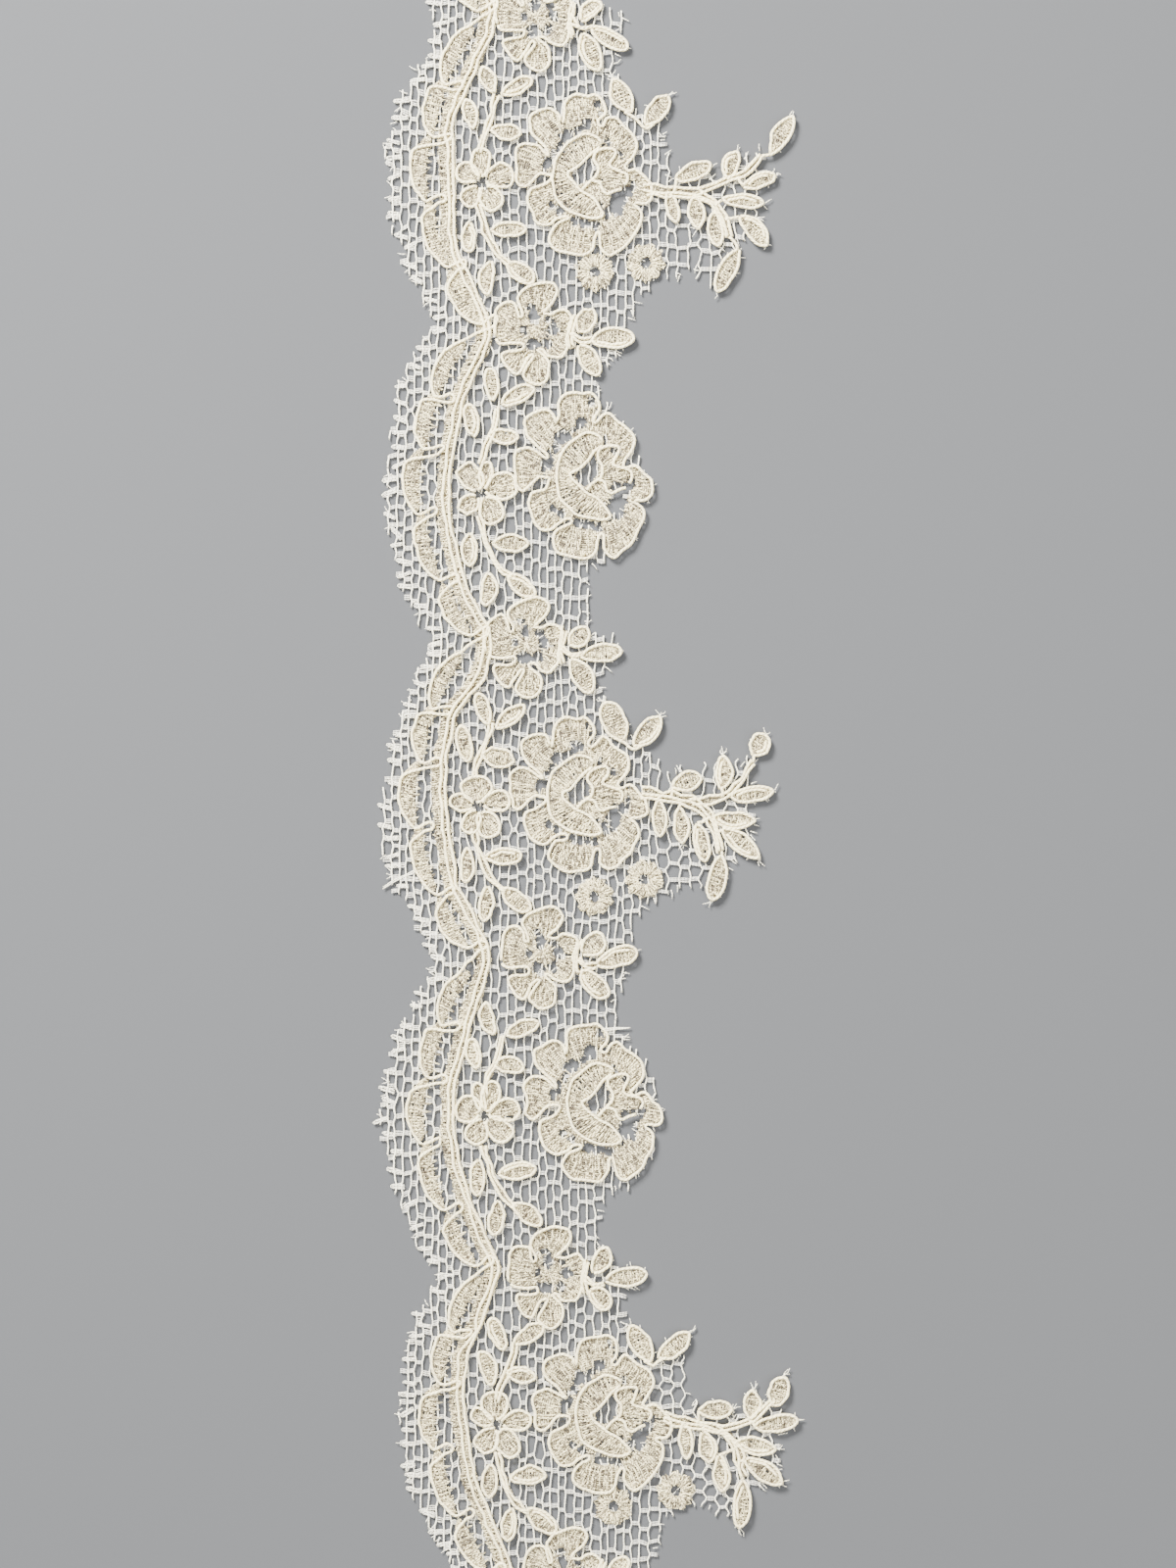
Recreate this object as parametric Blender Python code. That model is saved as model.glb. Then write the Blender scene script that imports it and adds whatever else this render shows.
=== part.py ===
"""A flat length of corded lace edging: a net ground with raised cloth-work, and the outline cords sewn on it.

Metres, z up; the length runs along y, the scalloped border is on the -x side, the sprigs on the +x side.
Tables are in millimetres and degrees.
"""
import math

import bpy
import bmesh
import numpy as np
from mathutils import Vector
from mathutils.geometry import delaunay_2d_cdt

MM = 0.001
Y_TOP, Y_END = 197.5, -204.0   # where the length is cut
ORIGIN = (-0.09, -3.04)  # the point of the tables that is the origin of the part
NET_TOP = 1.0           # top of the net ground
RELIEF = 0.35           # how far the middle of a motif stands above the net
CORD_LOW, CORD_TOP = 1.5, 2.1  # outline cord, clear of the ground below it
CORD_W = 0.9
CORD_GAP = 0.3          # least distance between two cords
LINK = 0.35             # loops of one cord further apart than this are joined by a run of cord
STEM_W = 1.5
STALK_W = 2.2           # net left under a stem
BAND_W = 3.4            # cloth-work band
BAND_MID = -0.2         # middle of the band's cloth-work, to the right of its line
BAND_CORDS = (-0.2, 1.15)  # the band's two cords, to the right of its line
BAND_STEP = 9.0
CUT_IN = 0.5            # how far the band stops short of the cut ends
LEAF_INSET = 6.0        # border leaves nearer than this to a cut end are left out
NET_X, NET_Y = 4.4, 8.0  # net cells are cut at twice the pitch of the thread net
NET_LEFT, NET_COLUMNS = -47.0, 24
NET_SWAY, SWAY_LENGTH = 3.0, 190.0  # the columns of the net bend a little along the length
BAR = 1.2               # bar left between two cut cells
NET_OFF = 0.55          # least distance from a cut cell to a motif
EDGE_OFF = 0.9          # least distance from a cut cell to the edge
LEAST_CELL = 0.4        # gaps of the net smaller than this area are closed
LEAST_EYE = 1.2         # gaps inside a cord smaller than this area are closed
MERGE = 0.03            # outline points nearer than this become one point
TIGHT = 0.0001          # the same where every point has to stay
RIM_TOL = 0.2           # a point of a cord's outline that bends it less than this is left out
SAMPLE = 0.5            # distances between cords are measured at points this far apart

PETAL_STEPS, CORD_STEPS = 6, 5  # points of a petal, and of the cord round it
HOLE_STEPS, RING_STEPS, RING_PEAKS = 6, 8, 4
PETAL_FAN = 0.24        # how much wider a petal is at its outer end
CRESCENT_TAPER, CRESCENT_BLUNT = 2.6, 0.6  # how a border leaf narrows towards its ends
MITRE = 0.55            # keeps the outer corner of a sharp bend short
ROUNDS = 40             # rounds in which the cords are moved apart
ROOM = 0.15             # room over the least distance that they are given
GREATEST_STEP = 0.4     # greatest move in one round
BOTH_MOVE = 0.55        # share of a move where both cords give way
LEAST_POINTS = 6        # points that the outline of a cord keeps
ROUGHNESS = 0.85

# unit: centre x, centre y, crest x of the border, edge shift
UNITS = {
    0: (-10.0, 219.4, -31.0, 0.0),
    1: (-9.3, 145.0, -30.9, 0.0),
    2: (-8.9, 70.7, -32.8, 0.0),
    3: (-10.5, -3.7, -33.6, 0.0),
    4: (-7.9, -78.8, -31.7, 2.5),
    5: (-4.9, -151.5, -28.9, 0.0),
    6: (-2.0, -225.7, -26.0, 0.0),
}
# unit: x and y of the small flower, and the angle, reach and width of each petal
FLORETS = {
    1: (-25.2, 142.8, ((92, 8.5, 5.2), (148, 7.2, 5.4), (231, 6.9, 4.9), (298, 7.6, 5.7), (21, 8.0, 6.6))),
    2: (-25.1, 68.9, ((80, 8.0, 3.6), (124, 8.4, 6.2), (218, 6.9, 5.0), (298, 7.9, 6.0), (20, 8.7, 6.9))),
    3: (-26.1, -5.4, ((95, 7.5, 7.8), (167, 7.0, 4.6), (245, 7.2, 4.8), (298, 8.2, 5.7), (15, 8.1, 5.4))),
    4: (-24.6, -78.8, ((72, 8.8, 4.8), (105, 8.6, 3.5), (157, 7.2, 6.8), (246, 7.3, 5.9), (317, 8.4, 5.6),
        (14, 8.9, 5.6))),
    5: (-21.5, -152.2, ((98, 8.2, 6.8), (155, 7.0, 4.2), (236, 7.7, 5.5), (300, 8.8, 5.7), (11, 8.5, 5.1))),
}
# unit: x, y and turn of the rose, its length to its width, how far its heart lies to the right
ROSES = {
    1: (0.05, 143.7, 2, 1.05, 0.0), 2: (-0.15, 72.4, 6, 1.09, 1.2), 3: (-1.2, -3.3, 6, 1.0, 0.0),
    4: (2.15, -76.5, 7, 1.03, 1.4), 5: (4.5, -150.5, 7, 1.02, 1.1),
}
# valley flower between unit n and n + 1
VALLEYS = ((-12.1, 182.2), (-12.3, 107.9), (-14.4, 33.3), (-10.9, -40.4), (-9.1, -116.3), (-5.4, -187.6))
# middle of the cloth-work band
BAND = (
    (-27.6, 197.5), (-25.2, 190.0), (-22.9, 183.0), (-24.6, 177.0), (-27.4, 170.7), (-30.2, 164.8),
    (-32.7, 159.7), (-33.6, 154.6), (-33.2, 147.0), (-32.9, 139.4), (-33.0, 132.0), (-32.0, 125.4),
    (-29.3, 120.3), (-27.4, 116.1), (-24.6, 109.5), (-24.2, 106.0), (-27.1, 99.9), (-29.7, 94.8),
    (-31.2, 90.1), (-32.9, 80.8), (-34.2, 73.0), (-34.0, 65.1), (-33.5, 60.0), (-32.4, 55.0), (-29.7, 44.8),
    (-26.9, 40.6), (-24.6, 35.5), (-24.4, 31.5), (-26.3, 25.0), (-29.2, 21.4), (-32.6, 17.2), (-33.6, 11.6),
    (-35.0, 5.7), (-35.2, -1.1), (-34.0, -13.8), (-32.3, -24.4), (-29.7, -28.6), (-25.7, -37.1),
    (-24.3, -41.5), (-25.5, -46.1), (-28.9, -56.2), (-31.2, -65.6), (-33.1, -73.0), (-33.0, -82.0),
    (-32.0, -90.1), (-28.9, -99.5), (-25.5, -107.9), (-22.3, -115.0), (-24.2, -121.3), (-27.2, -129.7),
    (-30.1, -135.0), (-31.0, -146.7), (-29.2, -159.4), (-27.2, -167.9), (-23.7, -175.5), (-19.4, -186.0),
    (-19.2, -190.0), (-22.5, -204.0),
)
# x from the crest, y from the unit, length, width, tilt from vertical, bow
BORDER_LEAVES = (
    (-0.6, 28.6, 14.0, 3.5, -30, 1.4), (-5.4, 16.2, 13.6, 3.6, -15, 1.6), (-8.4, 1.6, 15.0, 3.6, -4, 2.0),
    (-5.6, -14.2, 16.0, 3.2, 14, 1.6), (0.8, -29.4, 13.6, 3.5, 28, 1.2),
)
# leaves: x, y, length and width outside the cord, angle of the tip
SPRAYS = {
    1: ((-23.7, 167.2, 7.4, 3.9, 115), (-16.9, 165.7, 8.6, 3.8, 28), (-28.1, 159.1, 7.6, 3.8, 105),
        (-19.4, 155.1, 7.8, 4.2, -8), (-28.1, 129.9, 7.6, 3.7, -92), (-18.9, 131.6, 8.8, 3.8, 2),
        (-23.5, 120.2, 8.4, 3.9, -97), (-16.0, 121.4, 8.2, 4.6, -36)),
    2: ((-23.1, 94.9, 8.4, 3.7, 97), (-16.8, 92.0, 9.0, 4.2, 28), (-27.8, 86.2, 8.2, 3.8, 100),
        (-20.1, 82.6, 7.6, 3.9, -4), (-28.0, 55.7, 8.4, 4.0, -90), (-18.4, 57.0, 9.2, 4.4, 0),
        (-24.0, 46.3, 8.2, 4.2, -95), (-15.9, 47.2, 8.4, 4.4, -38)),
    3: ((-25.1, 17.8, 8.2, 3.8, 108), (-18.5, 15.9, 9.2, 4.1, 38), (-29.3, 9.5, 9.2, 3.8, 103),
        (-21.5, 6.4, 8.0, 4.8, -8), (-28.9, -19.2, 8.8, 3.6, -92), (-20.1, -17.2, 9.2, 4.3, 3),
        (-24.4, -28.3, 8.8, 3.8, -97), (-17.0, -27.4, 9.0, 4.6, -38)),
    4: ((-23.4, -55.7, 8.4, 3.8, 105), (-15.7, -58.2, 8.8, 4.1, 22), (-27.0, -63.9, 8.0, 3.9, 100),
        (-18.7, -67.0, 7.6, 4.3, -8), (-26.3, -93.3, 9.0, 4.0, -92), (-16.8, -92.0, 9.6, 4.5, 8),
        (-21.8, -103.0, 8.8, 4.0, -97), (-14.4, -102.2, 8.8, 4.5, -38)),
    5: ((-21.6, -130.7, 8.6, 4.0, 112), (-14.1, -130.7, 8.6, 4.3, 33), (-24.2, -138.8, 9.2, 4.2, 108),
        (-15.9, -140.0, 7.6, 4.1, -10), (-23.2, -165.4, 8.4, 4.0, -92), (-14.4, -164.5, 9.2, 4.7, 3),
        (-18.7, -175.9, 8.6, 4.0, -97), (-11.0, -174.8, 9.2, 4.7, -40)),
}
BUDS = {
    1: ((8.1, 163.5, 9.8, 5.2, 117), (16.3, 160.0, 9.6, 5.0, 52)),
    3: ((6.3, 14.9, 10.6, 6.1, 116), (13.9, 12.4, 9.9, 5.1, 47)),
    5: ((12.6, -133.0, 10.4, 5.2, 120), (20.2, -133.4, 10.0, 4.8, 38)),
}
SPRIGS = {
    1: ((25.0, 145.3, 9.4, 4.4, 22), (34.2, 147.0, 7.4, 4.2, 70), (46.0, 154.0, 11.2, 4.4, 61),
        (40.6, 143.3, 8.6, 3.6, 20), (36.8, 138.3, 10.4, 3.7, -5), (39.2, 131.4, 9.8, 4.9, -47),
        (33.3, 121.9, 11.8, 4.6, -118), (30.4, 131.7, 8.6, 4.2, -80), (25.8, 135.8, 8.4, 4.4, -83),
        (19.9, 137.0, 8.0, 3.4, -72)),
    3: ((23.5, 0.6, 7.8, 4.9, 20), (31.7, 2.8, 8.6, 4.4, 86), (40.7, 9.2, 6.2, 5.2, 60),
        (38.9, -2.2, 10.8, 4.1, 8), (34.5, -8.3, 10.8, 4.3, -3), (36.3, -14.1, 11.8, 4.7, -38),
        (30.6, -22.3, 11.6, 4.8, -102),
        (26.9, -13.9, 9.8, 4.2, -80), (22.1, -9.9, 9.0, 4.2, -85), (17.0, -8.1, 9.0, 3.9, -88)),
    5: ((30.2, -148.6, 8.6, 4.6, 4), (39.0, -147.4, 7.4, 4.4, 85), (45.3, -144.3, 7.8, 5.1, 72),
        (44.8, -151.9, 11.0, 4.4, 9), (39.7, -157.1, 10.4, 4.5, -9), (41.6, -163.2, 11.0, 4.9, -33),
        (36.3, -171.0, 12.0, 4.6, -94), (31.6, -163.6, 9.2, 4.3, -85), (28.1, -157.5, 8.2, 4.6, -80),
        (23.1, -155.9, 8.8, 3.6, -85)),
}
SPRIG_STEMS = {
    1: (((13.4, 141.2), (18.0, 140.9), (24.0, 140.2), (28.8, 138.6), (32.0, 135.0), (33.6, 130.0)),
        ((26.0, 140.4), (31.0, 142.6), (37.0, 145.0), (41.4, 149.2))),
    3: (((12.5, -1.9), (17.0, -2.7), (21.5, -3.5), (26.1, -5.1), (29.5, -8.7), (31.5, -16.1)),
        ((24.1, -4.3), (30.1, -3.7), (34.9, -1.1), (39.1, 5.3))),
    5: (((18.1, -150.5), (22.1, -151.3), (26.6, -152.1), (31.7, -153.7), (35.1, -157.3), (36.9, -164.7)),
        ((29.7, -152.9), (35.7, -152.3), (40.5, -149.7), (43.8, -146.5))),
}
# the three leaves of each valley flower: x, y from the flower, length and width outside the cord, angle
VALLEY_LEAVES = (
    ((12.8, 1.2, 7.0, 4.0, 42), (17.2, -5.0, 10.6, 4.4, -29), (12.7, -8.2, 10.0, 5.2, -66)),
    ((11.8, 2.0, 6.8, 5.0, 62), (18.0, -2.4, 10.8, 5.4, 3), (12.4, -7.2, 8.8, 5.0, -58)),
    ((12.1, 1.7, 6.6, 4.8, 45), (17.6, -2.2, 10.2, 4.6, 8), (12.6, -7.6, 9.8, 5.2, -60)),
    ((12.0, 2.4, 7.2, 5.6, 45), (17.8, -1.0, 10.6, 5.0, 17), (12.4, -6.9, 9.2, 5.0, -44)),
    ((12.0, 3.2, 7.6, 4.6, 62), (18.2, -0.8, 10.4, 5.0, 8), (11.8, -6.0, 7.0, 4.8, -45)),
    ((12.6, 1.4, 7.0, 4.6, 45), (17.8, -2.4, 10.2, 4.8, 5), (12.6, -7.2, 9.6, 5.0, -54)),
)
# x, y from the unit
SPRAY_STEMS = (
    ((-12.3, 18.8), (-13.9, 13.0), (-15.9, 8.2), (-16.6, 5.0)),
    ((-16.9, -7.0), (-15.2, -13.0), (-12.6, -18.6), (-9.0, -21.8)),
)
RINGS = {
    1: ((10.9, -23.4), (23.0, -21.2)),
    3: ((12.0, -23.1), (23.9, -19.0)),
    5: ((10.9, -20.1), (25.7, -16.4)),
}
RING_R = 4.6
# net edge: x from the crest of the border, y from the unit
LEFT_EDGE = (
    (-4.8, 36.0), (-8.4, 31.4), (-11.4, 25.4), (-14.0, 16.3), (-16.0, 4.7), (-16.6, -5.8), (-15.4, -14.0),
    (-12.8, -20.0), (-10.4, -25.8), (-7.6, -31.8), (-5.6, -36.0),
)
# net edge beside a sprig: x, y from the unit
SPRIG_EDGE = {
    1: ((17.0, 35.0), (16.4, 30.0), (15.4, 25.4), (19.8, 14.4), (26.8, 11.6), (27.9, 5.0), (28.6, -1.5),
        (34.0, 0.5), (39.8, -0.6), (44.1, 1.5), (46.9, 5.0), (50.3, 6.5), (51.5, 1.5), (50.0, -6.8),
        (50.4, -13.5), (44.5, -15.6), (41.4, -19.9), (38.3, -25.3), (35.4, -24.2), (34.0, -20.7),
        (30.5, -24.2), (26.3, -24.2), (23.5, -27.3), (21.0, -29.0), (19.3, -34.5)),
    3: ((17.0, 35.0), (14.6, 30.0), (13.5, 23.3), (19.8, 14.4), (26.8, 10.3), (28.4, 5.6), (36.3, 7.4),
        (44.0, 8.0), (48.4, 10.0), (50.4, 3.0), (50.0, -6.8), (50.4, -13.5), (45.0, -14.4),
        (42.0, -17.7), (37.7, -20.5), (31.2, -21.0), (24.5, -24.2), (21.0, -29.0), (19.3, -34.5)),
    5: ((17.0, 35.0), (14.0, 30.0), (13.0, 23.3), (19.8, 14.6), (27.3, 14.8), (29.2, 8.5), (29.6, 3.6),
        (34.4, 2.6), (39.9, 1.1), (44.1, 3.8), (47.2, 4.4), (50.2, 6.0), (50.2, -0.8), (50.0, -6.8),
        (50.4, -13.5), (45.0, -15.0), (42.0, -17.7), (37.2, -23.2), (34.4, -20.4), (31.3, -19.1),
        (26.3, -19.7), (22.4, -22.2), (21.4, -28.0), (20.8, -34.5)),
}
# net edge beside a unit without a sprig
PLAIN_EDGE = (
    (12.1, 28.0), (11.7, 22.1), (15.0, 16.5), (20.5, 9.8), (22.1, 0.0), (20.5, -9.3), (17.0, -15.5),
    (10.0, -19.1), (8.2, -21.0), (7.9, -29.8), (9.5, -35.0),
)

FLORET_EYE = 1.0        # where the petals of a small flower begin
# across, radial, x, y from the rose
ROSE_PETALS = (
    (9.8, 8.4, -2.3, 16.5), (11.7, 9.6, 7.6, 11.0), (13.0, 7.9, 12.0, -1.9), (12.1, 9.4, 8.9, -13.4),
    (9.3, 9.2, -2.1, -14.9), (12.4, 8.8, -9.8, -7.2), (9.3, 8.9, -13.7, 3.0), (7.9, 7.9, -11.0, 12.0),
)
# x, y from the rose, length, width, angle, bow: the folded heart petals
ROSE_HEART = (
    (-3.4, 6.6, 13.8, 5.6, 47, 2.2), (-2.8, -5.2, 15.6, 5.2, -46, -0.8), (4.2, 0.8, 12.0, 5.4, 98, -1.6),
)
ROSE_HOLES = ((-0.6, 1.0, 1.7, 2.6), (5.4, -7.6, 1.3, 2.2))
# across, radial, x, y from the valley flower
VALLEY_PETALS = (
    (10.0, 6.8, -6.3, 1.4), (10.0, 8.2, 0.9, 8.2), (11.6, 7.2, 6.5, 0.2), (6.8, 6.8, -4.9, -7.0),
    (6.6, 7.2, 1.6, -9.0),
)
VALLEY_STEM = ((5.0, -1.0), (10.0, -2.4), (14.0, -2.4))
# points that the net edge takes at each valley flower, from the flower
VALLEY_EDGE = ((21.0, 0.5), (19.0, -5.5))

CREAM = (0.86, 0.80, 0.68, 1.0)
IVORY = (0.80, 0.76, 0.68, 1.0)


def place(points, x, y, angle=0.0):
    """Points turned by an angle and set at (x, y)."""
    c = math.cos(math.radians(angle))
    s = math.sin(math.radians(angle))
    return [(x + u * c - v * s, y + u * s + v * c) for u, v in points]


def moved(point, x, y, angle=0.0):
    """One point turned by an angle and set at (x, y)."""
    return place([point], x, y, angle)[0]


def leaf(x, y, length, width, angle):
    """Middle line of the cord round a leaf, from its base round the blunt tip and back."""
    shape = ((-0.5, 0.0), (0.0, -0.5), (0.46, -0.24), (0.46, 0.24), (0.0, 0.5))
    return place([(u * (length - CORD_W), v * (width - CORD_W)) for u, v in shape], x, y, angle)


def crescent(x, y, length, width, angle, bow):
    """Outline of a bent leaf; a positive bow bends its middle to the left of its direction."""
    runs = (-1 / 3, 1 / 3)
    mid = {r: bow * (0.5 - r * r) for r in runs}
    wide = {r: width / 2 * (1 - abs(r) ** CRESCENT_TAPER) ** CRESCENT_BLUNT for r in runs}
    low = [(r * length / 2, mid[r] - wide[r]) for r in runs]
    high = [(r * length / 2, mid[r] + wide[r]) for r in reversed(runs)]
    return place([(-length / 2, -bow / 2)] + low + [(length / 2, -bow / 2)] + high, x, y, angle)


def petal(across, radial, x, y, cx, cy, steps, turn=0.0):
    """Outline of a fan petal whose narrow end faces (cx, cy)."""
    x, y = moved((x, y), 0, 0, turn)
    points = []
    for k in range(steps):
        t = 2 * math.pi * (k + 0.5) / steps - math.pi
        points.append((radial / 2 * math.cos(t), across / 2 * math.sin(t) * (1 + PETAL_FAN * math.cos(t))))
    return place(points, cx + x, cy + y, math.degrees(math.atan2(y, x)))


def ellipse(x, y, a, b, steps, angle=0.0):
    """Outline of an ellipse with the half widths a and b."""
    turns = [2 * math.pi * k / steps for k in range(steps)]
    return place([(a * math.cos(t), b * math.sin(t)) for t in turns], x, y, angle)


def band_line(offset):
    """A line beside the middle of the cloth-work band, to its right by the offset."""
    low = Y_END + CUT_IN
    high = Y_TOP - CUT_IN
    ys = np.linspace(low, high, round((high - low) / BAND_STEP) + 1)
    table = np.array(BAND)[::-1]
    xs = np.interp(ys, table[:, 1], table[:, 0])
    slope = np.gradient(xs, ys)
    size = np.hypot(slope, 1)
    shifted = np.clip(ys - offset * slope / size, low, high)
    return [(float(x), float(y)) for x, y in zip(xs + offset / size, shifted)]


def area(points):
    """Area inside an outline, positive when it runs anticlockwise."""
    return sum(a[0] * b[1] - b[0] * a[1] for a, b in zip(points, points[1:] + points[:1])) / 2


def inside(point, points):
    """Whether a point lies inside an outline."""
    x, y = point
    hit = False
    for (ax, ay), (bx, by) in zip(points, points[1:] + points[:1]):
        if (ay > y) != (by > y) and x < ax + (y - ay) * (bx - ax) / (by - ay):
            hit = not hit
    return hit


def clearance(point, points):
    """Distance from a point to an outline."""
    best = math.inf
    x, y = point
    for (ax, ay), (bx, by) in zip(points, points[1:] + points[:1]):
        dx, dy = bx - ax, by - ay
        share = ((x - ax) * dx + (y - ay) * dy) / (dx * dx + dy * dy or 1)
        share = max(0.0, min(1.0, share))
        best = min(best, math.hypot(x - ax - share * dx, y - ay - share * dy))
    return best


def clip(points, level, keep_below):
    """The part of an outline on one side of a level y."""
    sign = 1 if keep_below else -1
    out = []
    for a, b in zip(points, points[1:] + points[:1]):
        a_kept = sign * (level - a[1]) >= 0
        b_kept = sign * (level - b[1]) >= 0
        if a_kept:
            out.append(a)
        if a_kept != b_kept:
            t = (level - a[1]) / (b[1] - a[1])
            out.append((a[0] + t * (b[0] - a[0]), level))
    return out


def clip_ends(points):
    """The part of an outline between the two cut ends."""
    return clip(clip(points, Y_TOP, True), Y_END, False)


def middle(points):
    """Mean of some points."""
    return (sum(p[0] for p in points) / len(points), sum(p[1] for p in points) / len(points))


def strip(line, width, closed):
    """Quads that give a line of points a width."""
    n = len(line)
    left, right = [], []
    for k, point in enumerate(line):
        here = Vector(point)
        before = here - Vector(line[k - 1]) if k or closed else None
        after = Vector(line[(k + 1) % n]) - here if k < n - 1 or closed else None
        before = (before or after).normalized()
        after = (after or before).normalized()
        mid = (before + after).normalized()
        reach = width / 2 / max(MITRE, mid.dot(before))
        side = Vector((-mid.y, mid.x)) * reach
        left.append(tuple(here + side))
        right.append(tuple(here - side))
    last = n if closed else n - 1
    return [[right[k], right[(k + 1) % n], left[(k + 1) % n], left[k]] for k in range(last)]


def sampled(line, closed):
    """Points along a line, close together."""
    ends = line[1:] + (line[:1] if closed else [])
    out = []
    for (ax, ay), (bx, by) in zip(line, ends):
        count = max(1, round(math.hypot(bx - ax, by - ay) / SAMPLE))
        out += [(ax + (bx - ax) * k / count, ay + (by - ay) * k / count) for k in range(count)]
    if not closed:
        out.append(line[-1])
    return out


def nearest(one, two):
    """The least distance between two sets of points, and the two points."""
    p = np.array(one)
    q = np.array(two)
    away = np.hypot(p[:, None, 0] - q[None, :, 0], p[:, None, 1] - q[None, :, 1])
    i, j = np.unravel_index(int(away.argmin()), away.shape)
    return float(away[i, j]), one[i], two[j]


def bounds(points):
    """Least x, greatest x, least y and greatest y of some points."""
    xs = [p[0] for p in points]
    ys = [p[1] for p in points]
    return min(xs), max(xs), min(ys), max(ys)


def apart(p, q, need):
    """Whether two boxes are further apart than this."""
    return p[0] - need > q[1] or q[0] - need > p[1] or p[2] - need > q[3] or q[2] - need > p[3]


def push(one, two, need, one_fixed, two_fixed):
    """How far and which way a line has to move from another one, or None when it is clear of it."""
    gap, a, b = nearest(one, two)
    if gap >= need:
        return None
    if gap <= need / 2:
        a = a if one_fixed else middle(one)
        b = b if two_fixed else middle(two)
    dx, dy = a[0] - b[0], a[1] - b[1]
    share = min(GREATEST_STEP, need - gap) / (math.hypot(dx, dy) or 1.0)
    return share * dx, share * dy


def spread(cords, fixed):
    """Moves the lines of different cords apart until they no longer touch; the fixed cords stay."""
    items = [(name, k) for name, lines in cords.items() for k in range(len(lines))]
    for _ in range(ROUNDS):
        dots = {item: sampled(cords[item[0]][item[1]][0], cords[item[0]][item[1]][2]) for item in items}
        boxes = {item: bounds(dots[item]) for item in items}
        moves = {}
        for i, one in enumerate(items):
            for two in items[:i]:
                still = (one[0] in fixed, two[0] in fixed)
                need = (cords[one[0]][one[1]][1] + cords[two[0]][two[1]][1]) / 2 + CORD_GAP + ROOM
                if one[0] == two[0] or all(still) or apart(boxes[one], boxes[two], need):
                    continue
                step = push(dots[one], dots[two], need, *still)
                if step is None:
                    continue
                share = 1.0 if any(still) else BOTH_MOVE
                for item, sign, stays in ((one, share, still[0]), (two, -share, still[1])):
                    if not stays:
                        mx, my = moves.get(item, (0.0, 0.0))
                        moves[item] = (mx + sign * step[0], my + sign * step[1])
        if not moves:
            break
        for (name, k), (mx, my) in moves.items():
            line, width, closed = cords[name][k]
            cords[name][k] = ([(x + mx, y + my) for x, y in line], width, closed)


def runs_between(lines):
    """The short runs that carry a cord from one of its loops to the nearest next one."""
    dots = [sampled(line, closed) for line, _, closed in lines]
    pairs = []
    for i, mine in enumerate(dots):
        for j in range(i):
            gap, a, b = nearest(mine, dots[j])
            pairs.append((gap, i, j, a, b))
    group = list(range(len(lines)))
    runs = []
    for gap, i, j, a, b in sorted(pairs):
        if group[i] == group[j]:
            continue
        old, new = group[i], group[j]
        group = [new if g == old else g for g in group]
        if gap > LINK:
            runs.append([a, b])
    return runs


def plain_loop(loop, points):
    """A rim loop without the points that hardly bend it."""
    loop = list(loop)
    while len(loop) > LEAST_POINTS:
        costs = []
        for i, v in enumerate(loop):
            a = points[loop[i - 1]]
            b = points[loop[(i + 1) % len(loop)]]
            along = b - a
            off = abs(along.x * (points[v].y - a.y) - along.y * (points[v].x - a.x)) / max(along.length, 1e-6)
            costs.append((off, i))
        off, i = min(costs)
        if off > RIM_TOL:
            break
        loop.pop(i)
    return loop


def sides(tri):
    """The three edges of a triangle, in its direction."""
    return [(tri[0], tri[1]), (tri[1], tri[2]), (tri[2], tri[0])]


def triangulated(solid, holes, peaks):
    """The plane cut along the outlines: its points, all triangles, the kept ones and the raised points."""
    verts, faces = [], []
    for points in solid + holes:
        if area(points) < 0:
            points = points[::-1]
        faces.append(list(range(len(verts), len(verts) + len(points))))
        verts += points
    first_peak = len(verts)
    out = delaunay_2d_cdt([Vector(v) for v in verts + peaks], [], faces, 0, MERGE, True)
    points, tris = out[0], out[2]
    keep = set()
    for k, owners in enumerate(out[5]):
        if owners and all(o < len(solid) for o in owners):
            keep.add(k)
    raised = {v for v, owners in enumerate(out[3]) if any(o >= first_peak for o in owners)}
    return points, tris, keep, raised


def neighbours(tris):
    """The triangles on each edge, and the triangles beside each triangle."""
    edges = {}
    for k, tri in enumerate(tris):
        for pair in sides(tri):
            edges.setdefault(frozenset(pair), []).append(k)
    beside = [[] for _ in tris]
    for owners in edges.values():
        if len(owners) == 2:
            beside[owners[0]].append(owners[1])
            beside[owners[1]].append(owners[0])
    return edges, beside


def groups(members, beside):
    """Members split into sets of triangles that hang together."""
    left = set(members)
    found = []
    while left:
        stack = [left.pop()]
        group = set()
        while stack:
            k = stack.pop()
            group.add(k)
            for other in beside[k]:
                if other in left:
                    left.discard(other)
                    stack.append(other)
        found.append(group)
    return found


def surface(points, tris, group):
    """Area of a set of triangles."""
    total = 0.0
    for k in group:
        a, b, c = (points[v] for v in tris[k])
        total += abs((b.x - a.x) * (c.y - a.y) - (c.x - a.x) * (b.y - a.y)) / 2
    return total


def pinched(tris, keep, beside):
    """Triangles round the points where the body touches itself at a single point."""
    round_vert = {}
    for k, tri in enumerate(tris):
        for v in tri:
            round_vert.setdefault(v, []).append(k)
    found = set()
    for ring in round_vert.values():
        mine = [k for k in ring if k in keep]
        if mine and len(mine) < len(ring) and len(groups(mine, beside)) > 1:
            found |= set(ring) - keep
    return found


def one_body(points, tris, keep, beside, least_hole):
    """The largest body in the kept triangles, its small gaps closed and its pinched points filled."""
    while True:
        gaps = groups(set(range(len(tris))) - keep, beside)
        small = [group for group in gaps if surface(points, tris, group) < least_hole]
        more = set().union(*small) | pinched(tris, keep, beside)
        if not more:
            break
        keep = keep | more
    return max(groups(keep, beside), key=lambda group: surface(points, tris, group))


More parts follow.
